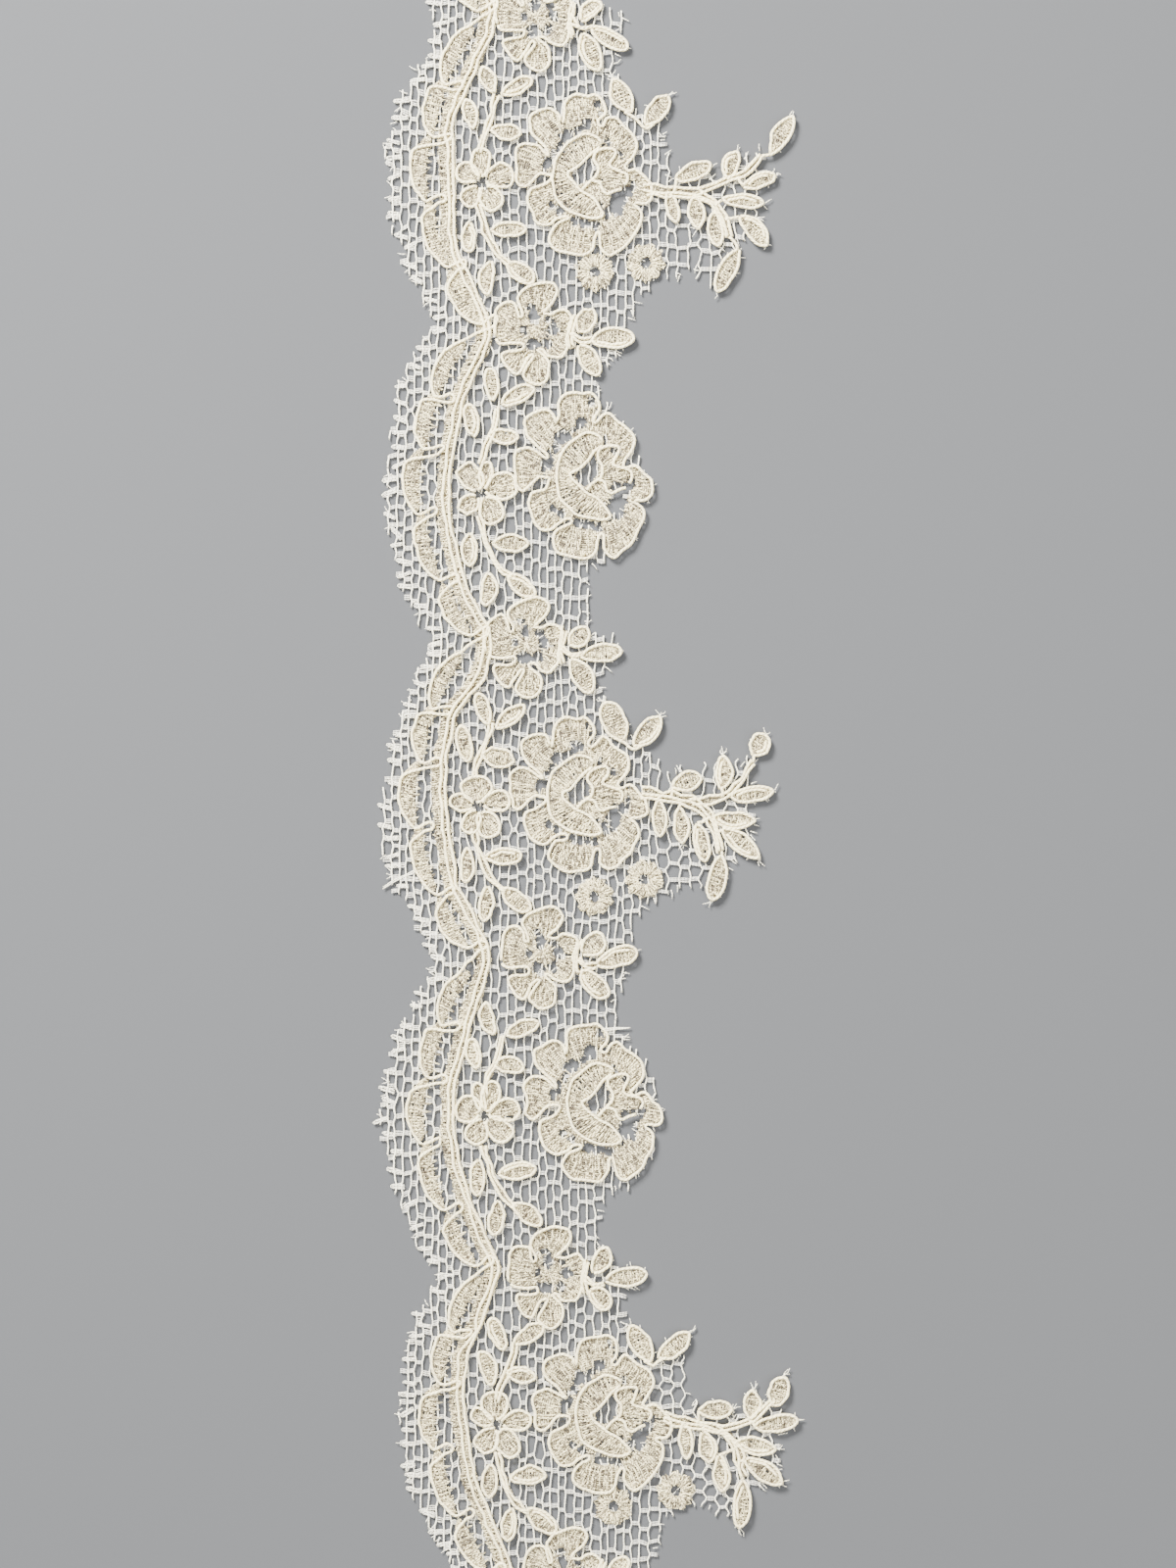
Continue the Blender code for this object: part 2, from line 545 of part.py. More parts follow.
def rims(tris, keep, edges):
    """The rims of a body, as loops of point numbers."""
    following = {}
    for k in keep:
        for a, b in sides(tris[k]):
            if sum(o in keep for o in edges[frozenset((a, b))]) == 1:
                following[a] = b
    loops = []
    while following:
        start, nxt = following.popitem()
        loop = [start]
        while nxt != start:
            loop.append(nxt)
            nxt = following.pop(nxt)
        loops.append(loop)
    return loops


def filled(points, loops):
    """Triangles of point numbers over the area between the rims."""
    rim = [v for loop in loops for v in loop]
    rim_edges = []
    for loop in loops:
        first = len(rim_edges)
        rim_edges += [(first + i, first + (i + 1) % len(loop)) for i in range(len(loop))]
    out = delaunay_2d_cdt([points[v].copy() for v in rim], rim_edges, [], 0, TIGHT, True)
    back = {i: owners[0] for i, owners in enumerate(out[3])}
    tris = [[back[i] for i in tri] for tri in out[2]]
    fence = {frozenset(pair) for pair in rim_edges}
    owner = {pair: k for k, tri in enumerate(tris) for pair in sides(tri)}
    seen = set()
    stack = [owner[pair] for pair in rim_edges if pair in owner]
    while stack:
        k = stack.pop()
        if k in seen:
            continue
        seen.add(k)
        for a, b in sides(tris[k]):
            if frozenset((a, b)) not in fence and (b, a) in owner:
                stack.append(owner[b, a])
    return [[rim[i] for i in tris[k]] for k in sorted(seen)]


def finish(name, bm, colour):
    """Makes the object with its material."""
    mesh = bpy.data.meshes.new(name)
    bm.to_mesh(mesh)
    bm.free()
    obj = bpy.data.objects.new(name, mesh)
    bpy.context.scene.collection.objects.link(obj)
    material = bpy.data.materials.new(name + "_thread")
    material.use_nodes = True
    shader = material.node_tree.nodes["Principled BSDF"]
    shader.inputs["Base Color"].default_value = colour
    shader.inputs["Roughness"].default_value = ROUGHNESS
    mesh.materials.append(material)


def slab(name, loops, points, tops, low, high, top_faces, raised, colour):
    """One closed body between two heights: its top, its walls along the rims and its base."""
    rim = {v for loop in loops for v in loop}
    bm = bmesh.new()
    upper, lower = {}, {}
    for v in sorted(tops):
        x = (points[v].x - ORIGIN[0]) * MM
        y = (points[v].y - ORIGIN[1]) * MM
        z = high + RELIEF if v in raised and v not in rim else high
        upper[v] = bm.verts.new((x, y, z * MM))
        if v in rim:
            lower[v] = bm.verts.new((x, y, low * MM))
    base = filled(points, loops)
    for tri in top_faces or base:
        bm.faces.new([upper[v] for v in tri])
    for tri in base:
        bm.faces.new([lower[v] for v in reversed(tri)])
    for loop in loops:
        for a, b in zip(loop, loop[1:] + loop[:1]):
            bm.faces.new((upper[b], upper[a], lower[a], lower[b]))
    bmesh.ops.triangulate(bm, faces=[face for face in bm.faces if len(face.verts) > 3])
    finish(name, bm, colour)


def ground(solid, holes, peaks):
    """The net ground with its motifs, raised at the peaks."""
    points, tris, keep, raised = triangulated(solid, holes, peaks)
    edges, beside = neighbours(tris)
    keep = one_body(points, tris, keep, beside, LEAST_CELL)
    loops = rims(tris, keep, edges)
    used = {v for k in keep for v in tris[k]}
    slab("lace_ground", loops, points, used, 0.0, NET_TOP, [tris[k] for k in sorted(keep)], raised, IVORY)


def cord(name, lines):
    """An outline cord with its runs, as one flat body."""
    lines = lines + [(run, CORD_W, False) for run in runs_between(lines)]
    quads = [quad for line, width, closed in lines for quad in strip(line, width, closed)]
    points, tris, keep, _ = triangulated(quads, [], [])
    edges, beside = neighbours(tris)
    keep = one_body(points, tris, keep, beside, LEAST_EYE)
    loops = [plain_loop(loop, points) for loop in rims(tris, keep, edges)]
    used = {v for loop in loops for v in loop}
    slab(name, loops, points, used, CORD_LOW, CORD_TOP, [], set(), CREAM)


def net_outline():
    """Edge of the net ground."""
    left, right = [], []
    for n, (ux, uy, crest, shift) in UNITS.items():
        left += place(LEFT_EDGE, crest, uy)
        right += place(SPRIG_EDGE.get(n, PLAIN_EDGE), ux + shift, uy)
        if n < len(VALLEYS):
            right += place(VALLEY_EDGE, *VALLEYS[n])
    return clip_ends(left + right[::-1])


def corners(box):
    """Outline of a box."""
    x0, y0, x1, y1 = box
    return [(x0, y0), (x1, y0), (x1, y1), (x0, y1)]


def free(box, net, spots):
    """Whether a box lies in the net, clear of its edge and of the motifs."""
    ring = corners(box)
    tests = ring + [middle([a, b]) for a, b in zip(ring, ring[1:] + ring[:1])]
    if not all(inside(p, net) and clearance(p, net) > EDGE_OFF for p in tests):
        return False
    x0, y0, x1, y1 = box
    for points, spot in spots:
        if apart(spot, (x0, x1, y0, y1), NET_OFF):
            continue
        if any(inside(p, points) or clearance(p, points) < NET_OFF for p in tests):
            return False
        if any(x0 < px < x1 and y0 < py < y1 for px, py in points):
            return False
    return True


def cells(net, motifs):
    """Cells cut in the net, clear of the motifs and of the edge; a half one where a whole one has no room."""
    spots = [(points, bounds(points)) for points in motifs]
    half = (NET_Y - 2 * BAR) / 2
    found = []
    for row in range(int((Y_TOP - Y_END) / NET_Y)):
        level = Y_END + NET_Y / 2 + row * NET_Y
        for column in range(NET_COLUMNS):
            x0 = NET_LEFT + column * NET_X + NET_SWAY * math.sin(level / SWAY_LENGTH)
            x1 = x0 + NET_X - BAR
            y0 = level + NET_Y / 2 * (column % 2)
            y1 = y0 + NET_Y - BAR
            boxes = [(x0, y0, x1, y1)]
            if not free(boxes[0], net, spots):
                boxes = [(x0, y, x1, y + half) for y in (y0, y0 + half + BAR)]
                boxes = [box for box in boxes if free(box, net, spots)]
            found += [corners(box) for box in boxes]
    return found


def border_leaves(motifs, peaks, cords):
    """The leaves of the scalloped border and the cord that meanders round them."""
    cords["border_cord"] = []
    for _, uy, crest, _ in UNITS.values():
        for dx, dy, length, width, tilt, bow in BORDER_LEAVES:
            x = crest + dx
            y = uy + dy
            if Y_END + LEAF_INSET < y < Y_TOP - LEAF_INSET:
                points = crescent(x, y, length, width, 90 + tilt, bow)
                motifs.append(points)
                peaks.append(moved((0, bow / 2), x, y, 90 + tilt))
                cords["border_cord"].append((points[:1] + points[3:][::-1], CORD_W, False))


def sprays(n, motifs, leaves, peaks, cords):
    """A small flower with its stems and its eight leaves."""
    ux, uy, _, _ = UNITS[n]
    lines = []
    for shape in SPRAYS[n]:
        points = leaf(*shape)
        leaves.append(points)
        lines.append((points, CORD_W, True))
    for line in SPRAY_STEMS:
        lines.append((place(line, ux, uy), STEM_W, False))
    fx, fy, petals = FLORETS[n]
    for angle, reach, width in petals:
        length = reach - CORD_W / 2 - FLORET_EYE
        x, y = moved((FLORET_EYE + length / 2, 0), 0, 0, angle)
        points = petal(width - CORD_W, length, x, y, fx, fy, CORD_STEPS)
        motifs.append(points)
        peaks.append((fx + x, fy + y))
        lines.append((points, CORD_W, False))
    cords[f"spray_cord_{n}"] = lines


def rose(n, motifs, holes, peaks, cords):
    """A rose: its eight petals, its folded heart and its holes."""
    rx, ry, turn, stretch, heart = ROSES[n]
    lines = []
    for across, radial, x, y in ROSE_PETALS:
        points = petal(across, radial, x, y * stretch, rx, ry, PETAL_STEPS, turn)
        motifs.append(points)
        peaks.append(middle(points))
        lines.append((petal(across, radial, x, y * stretch, rx, ry, CORD_STEPS, turn), CORD_W, False))
    for x, y, length, width, angle, bow in ROSE_HEART:
        x, y = moved((x, y), rx + heart, ry, turn)
        points = crescent(x, y, length, width, angle + turn, bow)
        motifs.append(points)
        peaks.append((x, y))
        lines.append((points, CORD_W, True))
    for x, y, a, b in ROSE_HOLES:
        x, y = moved((x, y), rx + heart, ry, turn)
        holes.append(ellipse(x, y, a, b, HOLE_STEPS, turn))
    cords[f"rose_cord_{n}"] = lines


def sprig(n, motifs, leaves, peaks, cords):
    """The sprig that stands out on the right, the two leaves above it and the two ring flowers below it."""
    ux, uy, _, _ = UNITS[n]
    for name, shapes in (("sprig_cord", SPRIGS[n]), ("bud_cord", BUDS[n])):
        lines = [(leaf(*shape), CORD_W, True) for shape in shapes]
        leaves += [points for points, _, _ in lines]
        cords[f"{name}_{n}"] = lines
    for line in SPRIG_STEMS[n]:
        cords[f"sprig_cord_{n}"].append((list(line), STEM_W, False))
    for x, y in RINGS[n]:
        motifs.append(ellipse(ux + x, uy + y, RING_R, RING_R, RING_STEPS))
        peaks += ellipse(ux + x, uy + y, RING_R / 2, RING_R / 2, RING_PEAKS)


def valley(n, motifs, leaves, peaks, cords):
    """The flower between two scallops with its three leaves."""
    vx, vy = VALLEYS[n]
    lines = []
    for across, radial, x, y in VALLEY_PETALS:
        points = petal(across, radial, x, y, vx, vy, PETAL_STEPS)
        motifs.append(points)
        peaks.append(middle(points))
        lines.append((petal(across, radial, x, y, vx, vy, CORD_STEPS), CORD_W, False))
    for x, y, length, width, angle in VALLEY_LEAVES[n]:
        points = leaf(vx + x, vy + y, length, width, angle)
        leaves.append(points)
        lines.append((points, CORD_W, True))
    lines.append((place(VALLEY_STEM, vx, vy), STEM_W, False))
    cords[f"valley_cord_{n}"] = lines


def stalks(net, jutting):
    """Strips of net that carry the leaves and stems standing out from the edge."""
    found = []
    for run in runs_between([(net, 0, True)] + [(points, 0, True) for points in jutting]):
        found += strip(run, STALK_W, False)
    for lines in SPRIG_STEMS.values():
        for line in lines:
            found += strip(line, STALK_W, False)
    return found


def main():
    """Builds the net ground and its outline cords."""
    for obj in list(bpy.data.objects):
        bpy.data.objects.remove(obj, do_unlink=True)
    motifs, leaves, holes, peaks, cords = [], [], [], [], {}
    border_leaves(motifs, peaks, cords)
    for n in ROSES:
        sprays(n, motifs, leaves, peaks, cords)
        rose(n, motifs, holes, peaks, cords)
    for n in SPRIGS:
        sprig(n, motifs, leaves, peaks, cords)
    for n in range(len(VALLEYS)):
        valley(n, motifs, leaves, peaks, cords)
    for name, offset in zip(("band_cord_outer", "band_cord_inner"), BAND_CORDS):
        cords[name] = [(band_line(offset), CORD_W, False)]

    net = net_outline()
    motifs = [clip_ends(points) for points in motifs]
    motifs += [clip_ends(quad) for quad in strip(band_line(BAND_MID), BAND_W, False)]
    cut = cells(net, motifs + leaves)
    jutting = [points for points in leaves if not all(inside(p, net) for p in points)]
    ground([net] + motifs + jutting + stalks(net, jutting), holes + cut, peaks)
    spread(cords, ("band_cord_outer", "band_cord_inner"))
    for name, lines in cords.items():
        cord(name, lines)


main()
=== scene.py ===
import math
from functools import lru_cache

import bpy
import numpy as np
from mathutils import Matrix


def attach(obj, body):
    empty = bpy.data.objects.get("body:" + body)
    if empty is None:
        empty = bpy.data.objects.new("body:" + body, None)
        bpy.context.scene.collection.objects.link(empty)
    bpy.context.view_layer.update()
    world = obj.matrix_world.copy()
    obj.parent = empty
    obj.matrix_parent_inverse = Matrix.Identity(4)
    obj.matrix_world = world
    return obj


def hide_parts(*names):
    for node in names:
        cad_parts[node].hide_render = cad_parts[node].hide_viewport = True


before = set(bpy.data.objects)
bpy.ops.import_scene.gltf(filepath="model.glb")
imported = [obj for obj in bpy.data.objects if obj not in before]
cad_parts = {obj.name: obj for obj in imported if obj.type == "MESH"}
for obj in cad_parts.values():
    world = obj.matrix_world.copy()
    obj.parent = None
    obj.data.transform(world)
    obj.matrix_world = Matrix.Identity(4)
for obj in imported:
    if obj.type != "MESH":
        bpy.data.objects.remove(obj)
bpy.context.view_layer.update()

bl_info = {
    "name": "Corded lace edging",
    "version": (1, 0, 0),
    "blender": (4, 5, 0),
    "location": "View3D > Sidebar > Lace",
    "description": "Net, cloth-work and outline cords of a length of corded lace edging",
    "category": "Object",
}

MM = 0.001
SEED = 7
Y_TOP, Y_END = 197.5, -204.0    # where the length is cut
ORIGIN = (-0.09, -3.04)         # the point of the tables that is the origin of the part
VIEW_LENGTH = 372.8             # what the camera takes in from top to bottom, centred on the tables' zero
VIEW_HEIGHT = 900.0             # of the camera above the floor

# The tables are in millimetres and degrees.
# unit: centre x, centre y, crest x of the border, edge shift
UNITS = {
    0: (-10.0, 219.4, -31.0, 0.0),
    1: (-9.3, 145.0, -30.9, 0.0),
    2: (-8.9, 70.7, -32.8, 0.0),
    3: (-10.5, -3.7, -33.6, 0.0),
    4: (-7.9, -78.8, -31.7, 2.5),
    5: (-4.9, -151.5, -28.9, 0.0),
    6: (-2.0, -225.7, -26.0, 0.0),
}
# unit: x and y of the small flower, and the angle, reach and width of each petal
FLORETS = {
    1: (-25.2, 142.8, ((92, 8.5, 5.2), (148, 7.2, 5.4), (231, 6.9, 4.9), (298, 7.6, 5.7), (21, 8.0, 6.6))),
    2: (-25.1, 68.9, ((80, 8.0, 3.6), (124, 8.4, 6.2), (218, 6.9, 5.0), (298, 7.9, 6.0), (20, 8.7, 6.9))),
    3: (-26.1, -5.4, ((95, 7.5, 7.8), (167, 7.0, 4.6), (245, 7.2, 4.8), (298, 8.2, 5.7), (15, 8.1, 5.4))),
    4: (-24.6, -78.8, ((72, 8.8, 4.8), (105, 8.6, 3.5), (157, 7.2, 6.8), (246, 7.3, 5.9), (317, 8.4, 5.6),
        (14, 8.9, 5.6))),
    5: (-21.5, -152.2, ((98, 8.2, 6.8), (155, 7.0, 4.2), (236, 7.7, 5.5), (300, 8.8, 5.7), (11, 8.5, 5.1))),
}
# unit: x, y and turn of the rose, its length to its width, how far its heart lies to the right
ROSES = {
    1: (0.05, 143.7, 2, 1.05, 0.0), 2: (-0.15, 72.4, 6, 1.09, 1.2), 3: (-1.2, -3.3, 6, 1.0, 0.0),
    4: (2.15, -76.5, 7, 1.03, 1.4), 5: (4.5, -150.5, 7, 1.02, 1.1),
}
# valley flower between unit n and n + 1
VALLEYS = ((-12.1, 182.2), (-12.3, 107.9), (-14.4, 33.3), (-10.9, -40.4), (-9.1, -116.3), (-5.4, -187.6))
# middle of the cloth-work band
BAND = (
    (-27.6, 197.5), (-25.2, 190.0), (-22.9, 183.0), (-24.6, 177.0), (-27.4, 170.7), (-30.2, 164.8),
    (-32.7, 159.7), (-33.6, 154.6), (-33.2, 147.0), (-32.9, 139.4), (-33.0, 132.0), (-32.0, 125.4),
    (-29.3, 120.3), (-27.4, 116.1), (-24.6, 109.5), (-24.2, 106.0), (-27.1, 99.9), (-29.7, 94.8),
    (-31.2, 90.1), (-32.9, 80.8), (-34.2, 73.0), (-34.0, 65.1), (-33.5, 60.0), (-32.4, 55.0), (-29.7, 44.8),
    (-26.9, 40.6), (-24.6, 35.5), (-24.4, 31.5), (-26.3, 25.0), (-29.2, 21.4), (-32.6, 17.2), (-33.6, 11.6),
    (-35.0, 5.7), (-35.2, -1.1), (-34.0, -13.8), (-32.3, -24.4), (-29.7, -28.6), (-25.7, -37.1),
    (-24.3, -41.5), (-25.5, -46.1), (-28.9, -56.2), (-31.2, -65.6), (-33.1, -73.0), (-33.0, -82.0),
    (-32.0, -90.1), (-28.9, -99.5), (-25.5, -107.9), (-22.3, -115.0), (-24.2, -121.3), (-27.2, -129.7),
    (-30.1, -135.0), (-31.0, -146.7), (-29.2, -159.4), (-27.2, -167.9), (-23.7, -175.5), (-19.4, -186.0),
    (-19.2, -190.0), (-22.5, -204.0),
)
# leaves of the border: x from the crest, y from the unit, length, width, tilt from vertical, bow
BORDER_LEAVES = (
    (-0.6, 28.6, 14.0, 3.5, -30, 1.4), (-5.4, 16.2, 13.6, 3.6, -15, 1.6), (-8.4, 1.6, 15.0, 3.6, -4, 2.0),
    (-5.6, -14.2, 16.0, 3.2, 14, 1.6), (0.8, -29.4, 13.6, 3.5, 28, 1.2),
)
# leaves of each unit: x, y, length and width outside the cord, angle of the tip
SPRAYS = {
    1: ((-23.7, 167.2, 7.4, 3.9, 115), (-16.9, 165.7, 8.6, 3.8, 28), (-28.1, 159.1, 7.6, 3.8, 105),
        (-19.4, 155.1, 7.8, 4.2, -8), (-28.1, 129.9, 7.6, 3.7, -92), (-18.9, 131.6, 8.8, 3.8, 2),
        (-23.5, 120.2, 8.4, 3.9, -97), (-16.0, 121.4, 8.2, 4.6, -36)),
    2: ((-23.1, 94.9, 8.4, 3.7, 97), (-16.8, 92.0, 9.0, 4.2, 28), (-27.8, 86.2, 8.2, 3.8, 100),
        (-20.1, 82.6, 7.6, 3.9, -4), (-28.0, 55.7, 8.4, 4.0, -90), (-18.4, 57.0, 9.2, 4.4, 0),
        (-24.0, 46.3, 8.2, 4.2, -95), (-15.9, 47.2, 8.4, 4.4, -38)),
    3: ((-25.1, 17.8, 8.2, 3.8, 108), (-18.5, 15.9, 9.2, 4.1, 38), (-29.3, 9.5, 9.2, 3.8, 103),
        (-21.5, 6.4, 8.0, 4.8, -8), (-28.9, -19.2, 8.8, 3.6, -92), (-20.1, -17.2, 9.2, 4.3, 3),
        (-24.4, -28.3, 8.8, 3.8, -97), (-17.0, -27.4, 9.0, 4.6, -38)),
    4: ((-23.4, -55.7, 8.4, 3.8, 105), (-15.7, -58.2, 8.8, 4.1, 22), (-27.0, -63.9, 8.0, 3.9, 100),
        (-18.7, -67.0, 7.6, 4.3, -8), (-26.3, -93.3, 9.0, 4.0, -92), (-16.8, -92.0, 9.6, 4.5, 8),
        (-21.8, -103.0, 8.8, 4.0, -97), (-14.4, -102.2, 8.8, 4.5, -38)),
    5: ((-21.6, -130.7, 8.6, 4.0, 112), (-14.1, -130.7, 8.6, 4.3, 33), (-24.2, -138.8, 9.2, 4.2, 108),
        (-15.9, -140.0, 7.6, 4.1, -10), (-23.2, -165.4, 8.4, 4.0, -92), (-14.4, -164.5, 9.2, 4.7, 3),
        (-18.7, -175.9, 8.6, 4.0, -97), (-11.0, -174.8, 9.2, 4.7, -40)),
}
BUDS = {
    1: ((8.1, 163.5, 9.8, 5.2, 117), (16.3, 160.0, 9.6, 5.0, 52)),
    3: ((6.3, 14.9, 10.6, 6.1, 116), (13.9, 12.4, 9.9, 5.1, 47)),
    5: ((12.6, -133.0, 10.4, 5.2, 120), (20.2, -133.4, 10.0, 4.8, 38)),
}
SPRIGS = {
    1: ((25.0, 145.3, 9.4, 4.4, 22), (34.2, 147.0, 7.4, 4.2, 70), (46.0, 154.0, 11.2, 4.4, 61),
        (40.6, 143.3, 8.6, 3.6, 20), (36.8, 138.3, 10.4, 3.7, -5), (39.2, 131.4, 9.8, 4.9, -47),
        (33.3, 121.9, 11.8, 4.6, -118), (30.4, 131.7, 8.6, 4.2, -80), (25.8, 135.8, 8.4, 4.4, -83),
        (19.9, 137.0, 8.0, 3.4, -72)),
    3: ((23.5, 0.6, 7.8, 4.9, 20), (31.7, 2.8, 8.6, 4.4, 86), (40.7, 9.2, 6.2, 5.2, 60),
        (38.9, -2.2, 10.8, 4.1, 8), (34.5, -8.3, 10.8, 4.3, -3), (36.3, -14.1, 11.8, 4.7, -38),
        (30.6, -22.3, 11.6, 4.8, -102), (26.9, -13.9, 9.8, 4.2, -80), (22.1, -9.9, 9.0, 4.2, -85),
        (17.0, -8.1, 9.0, 3.9, -88)),
    5: ((30.2, -148.6, 8.6, 4.6, 4), (39.0, -147.4, 7.4, 4.4, 85), (45.3, -144.3, 7.8, 5.1, 72),
        (44.8, -151.9, 11.0, 4.4, 9), (39.7, -157.1, 10.4, 4.5, -9), (41.6, -163.2, 11.0, 4.9, -33),
        (36.3, -171.0, 12.0, 4.6, -94), (31.6, -163.6, 9.2, 4.3, -85), (28.1, -157.5, 8.2, 4.6, -80),
        (23.1, -155.9, 8.8, 3.6, -85)),
}
SPRIG_STEMS = {
    1: (((13.4, 141.2), (18.0, 140.9), (24.0, 140.2), (28.8, 138.6), (32.0, 135.0), (33.6, 130.0)),
        ((26.0, 140.4), (31.0, 142.6), (37.0, 145.0), (41.4, 149.2))),
    3: (((12.5, -1.9), (17.0, -2.7), (21.5, -3.5), (26.1, -5.1), (29.5, -8.7), (31.5, -16.1)),
        ((24.1, -4.3), (30.1, -3.7), (34.9, -1.1), (39.1, 5.3))),
    5: (((18.1, -150.5), (22.1, -151.3), (26.6, -152.1), (31.7, -153.7), (35.1, -157.3), (36.9, -164.7)),
        ((29.7, -152.9), (35.7, -152.3), (40.5, -149.7), (43.8, -146.5))),
}
# the three leaves of each valley flower: x, y from the flower, length and width outside the cord, angle
VALLEY_LEAVES = (
    ((12.8, 1.2, 7.0, 4.0, 42), (17.2, -5.0, 10.6, 4.4, -29), (12.7, -8.2, 10.0, 5.2, -66)),
    ((11.8, 2.0, 6.8, 5.0, 62), (18.0, -2.4, 10.8, 5.4, 3), (12.4, -7.2, 8.8, 5.0, -58)),
    ((12.1, 1.7, 6.6, 4.8, 45), (17.6, -2.2, 10.2, 4.6, 8), (12.6, -7.6, 9.8, 5.2, -60)),
    ((12.0, 2.4, 7.2, 5.6, 45), (17.8, -1.0, 10.6, 5.0, 17), (12.4, -6.9, 9.2, 5.0, -44)),
    ((12.0, 3.2, 7.6, 4.6, 62), (18.2, -0.8, 10.4, 5.0, 8), (11.8, -6.0, 7.0, 4.8, -45)),
    ((12.6, 1.4, 7.0, 4.6, 45), (17.8, -2.4, 10.2, 4.8, 5), (12.6, -7.2, 9.6, 5.0, -54)),
)
# stems of the leaves: x, y from the unit
SPRAY_STEMS = (
    ((-12.3, 18.8), (-13.9, 13.0), (-15.9, 8.2), (-16.6, 5.0)),
    ((-16.9, -7.0), (-15.2, -13.0), (-12.6, -18.6), (-9.0, -21.8)),
)
# ring flowers below a sprig: x, y from the unit
RINGS = {
    1: ((10.9, -23.4), (23.0, -21.2)),
    3: ((12.0, -23.1), (23.9, -19.0)),
    5: ((10.9, -20.1), (25.7, -16.4)),
}
RING_R, RING_EYE = 4.6, 1.3
RING_WAVES, RING_WAVE = 9, 0.35     # how many bulges its rim has, and how deep they are
# net edge on the left: y from the unit, and for each unit x from the crest of the border
EDGE_Y = (36.0, 31.4, 25.4, 16.3, 4.7, -5.8, -14.0, -20.0, -25.8, -31.8, -36.0)
LEFT_EDGE = {
    1: (-4.8, -5.9, -9.2, -14.0, -16.5, -16.0, -14.0, -13.2, -10.4, -6.5, -5.6),
    2: (-5.0, -9.4, -12.0, -13.2, -14.2, -14.4, -13.6, -12.4, -10.6, -7.0, -4.6),
    3: (-3.2, -6.2, -8.8, -12.0, -14.8, -15.4, -15.2, -12.0, -8.2, -5.4, -4.6),
    4: (-4.8, -7.6, -9.6, -13.6, -17.2, -17.0, -14.8, -13.6, -10.4, -6.8, -5.6),
    5: (-5.6, -8.2, -11.4, -14.4, -15.2, -14.8, -13.4, -11.0, -8.0, -4.6, -3.0),
}
# the same of the two units at the ends
END_EDGE = (-4.8, -8.4, -11.4, -14.0, -16.0, -16.6, -15.4, -12.8, -10.4, -7.6, -5.6)
# net edge beside a sprig: x, y from the unit
SPRIG_EDGE = {
    1: ((17.0, 35.0), (16.4, 30.0), (15.4, 25.4), (19.8, 14.4), (26.8, 11.6), (27.9, 5.0), (28.6, -1.5),
        (34.0, 0.5), (39.8, -0.6), (44.1, 1.5), (46.9, 5.0), (50.3, 6.5), (51.5, 1.5), (50.0, -6.8),
        (50.4, -13.5), (44.5, -15.6), (41.4, -19.9), (38.3, -25.3), (35.4, -24.2), (34.0, -20.7),
        (30.5, -24.2), (26.3, -24.2), (23.5, -27.3), (21.0, -29.0), (19.3, -34.5)),
    3: ((17.0, 35.0), (14.6, 30.0), (13.5, 23.3), (19.8, 14.4), (26.8, 10.3), (28.4, 5.6), (36.3, 7.4),
        (44.0, 8.0), (48.4, 10.0), (50.4, 3.0), (50.0, -6.8), (50.4, -13.5), (45.0, -14.4),
        (42.0, -17.7), (37.7, -20.5), (31.2, -21.0), (24.5, -24.2), (21.0, -29.0), (19.3, -34.5)),
    5: ((17.0, 35.0), (14.0, 30.0), (13.0, 23.3), (19.8, 14.6), (27.3, 14.8), (29.2, 8.5), (29.6, 3.6),
        (34.4, 2.6), (39.9, 1.1), (44.1, 3.8), (47.2, 4.4), (50.2, 6.0), (50.2, -0.8), (50.0, -6.8),
        (50.4, -13.5), (45.0, -15.0), (42.0, -17.7), (37.2, -23.2), (34.4, -20.4), (31.3, -19.1),
        (26.3, -19.7), (22.4, -22.2), (21.4, -28.0), (20.8, -34.5)),
}
# net edge beside a unit without a sprig
PLAIN_EDGE = (
    (12.1, 28.0), (11.7, 22.1), (15.0, 16.5), (20.5, 9.8), (22.1, 0.0), (20.5, -9.3), (17.0, -15.5),
    (10.0, -19.1), (8.2, -21.0), (7.9, -29.8), (9.5, -35.0),
)
# net edge beside a valley flower: x, y from the flower
VALLEY_EDGE = ((21.0, 0.5), (19.0, -5.5))
# loose threads of the edge
STRAYS = (
    ((-40.2, -20.2), (-43.0, -21.6), (-45.9, -23.0), (-48.7, -24.7)),
    ((3.2, -58.4), (6.5, -58.2), (10.0, -58.1)),
)


# ---------------------------------------------------------------- lines in the plane of the lace

def place(points, x, y, angle):
    """Points turned by an angle and set at (x, y)."""
    p = np.asarray(points, float)
    c, s = math.cos(math.radians(angle)), math.sin(math.radians(angle))
    return np.stack([x + p[:, 0] * c - p[:, 1] * s, y + p[:, 0] * s + p[:, 1] * c], 1)


def lengths(line):
    """How far along a line each of its points is."""
    steps = np.linalg.norm(np.diff(line, axis=0), axis=1)
    return np.concatenate([[0.0], np.cumsum(steps)])


def at(line, share):
    """The points at these shares of a line's length."""
    run = lengths(line)
    where = np.asarray(share) * run[-1]
    return np.stack([np.interp(where, run, line[:, k]) for k in range(line.shape[1])], -1)


def even(line, step):
    """A line with its points evenly spaced, about a step apart."""
    count = max(2, round(lengths(line)[-1] / step) + 1)
    return at(line, np.linspace(0, 1, count))


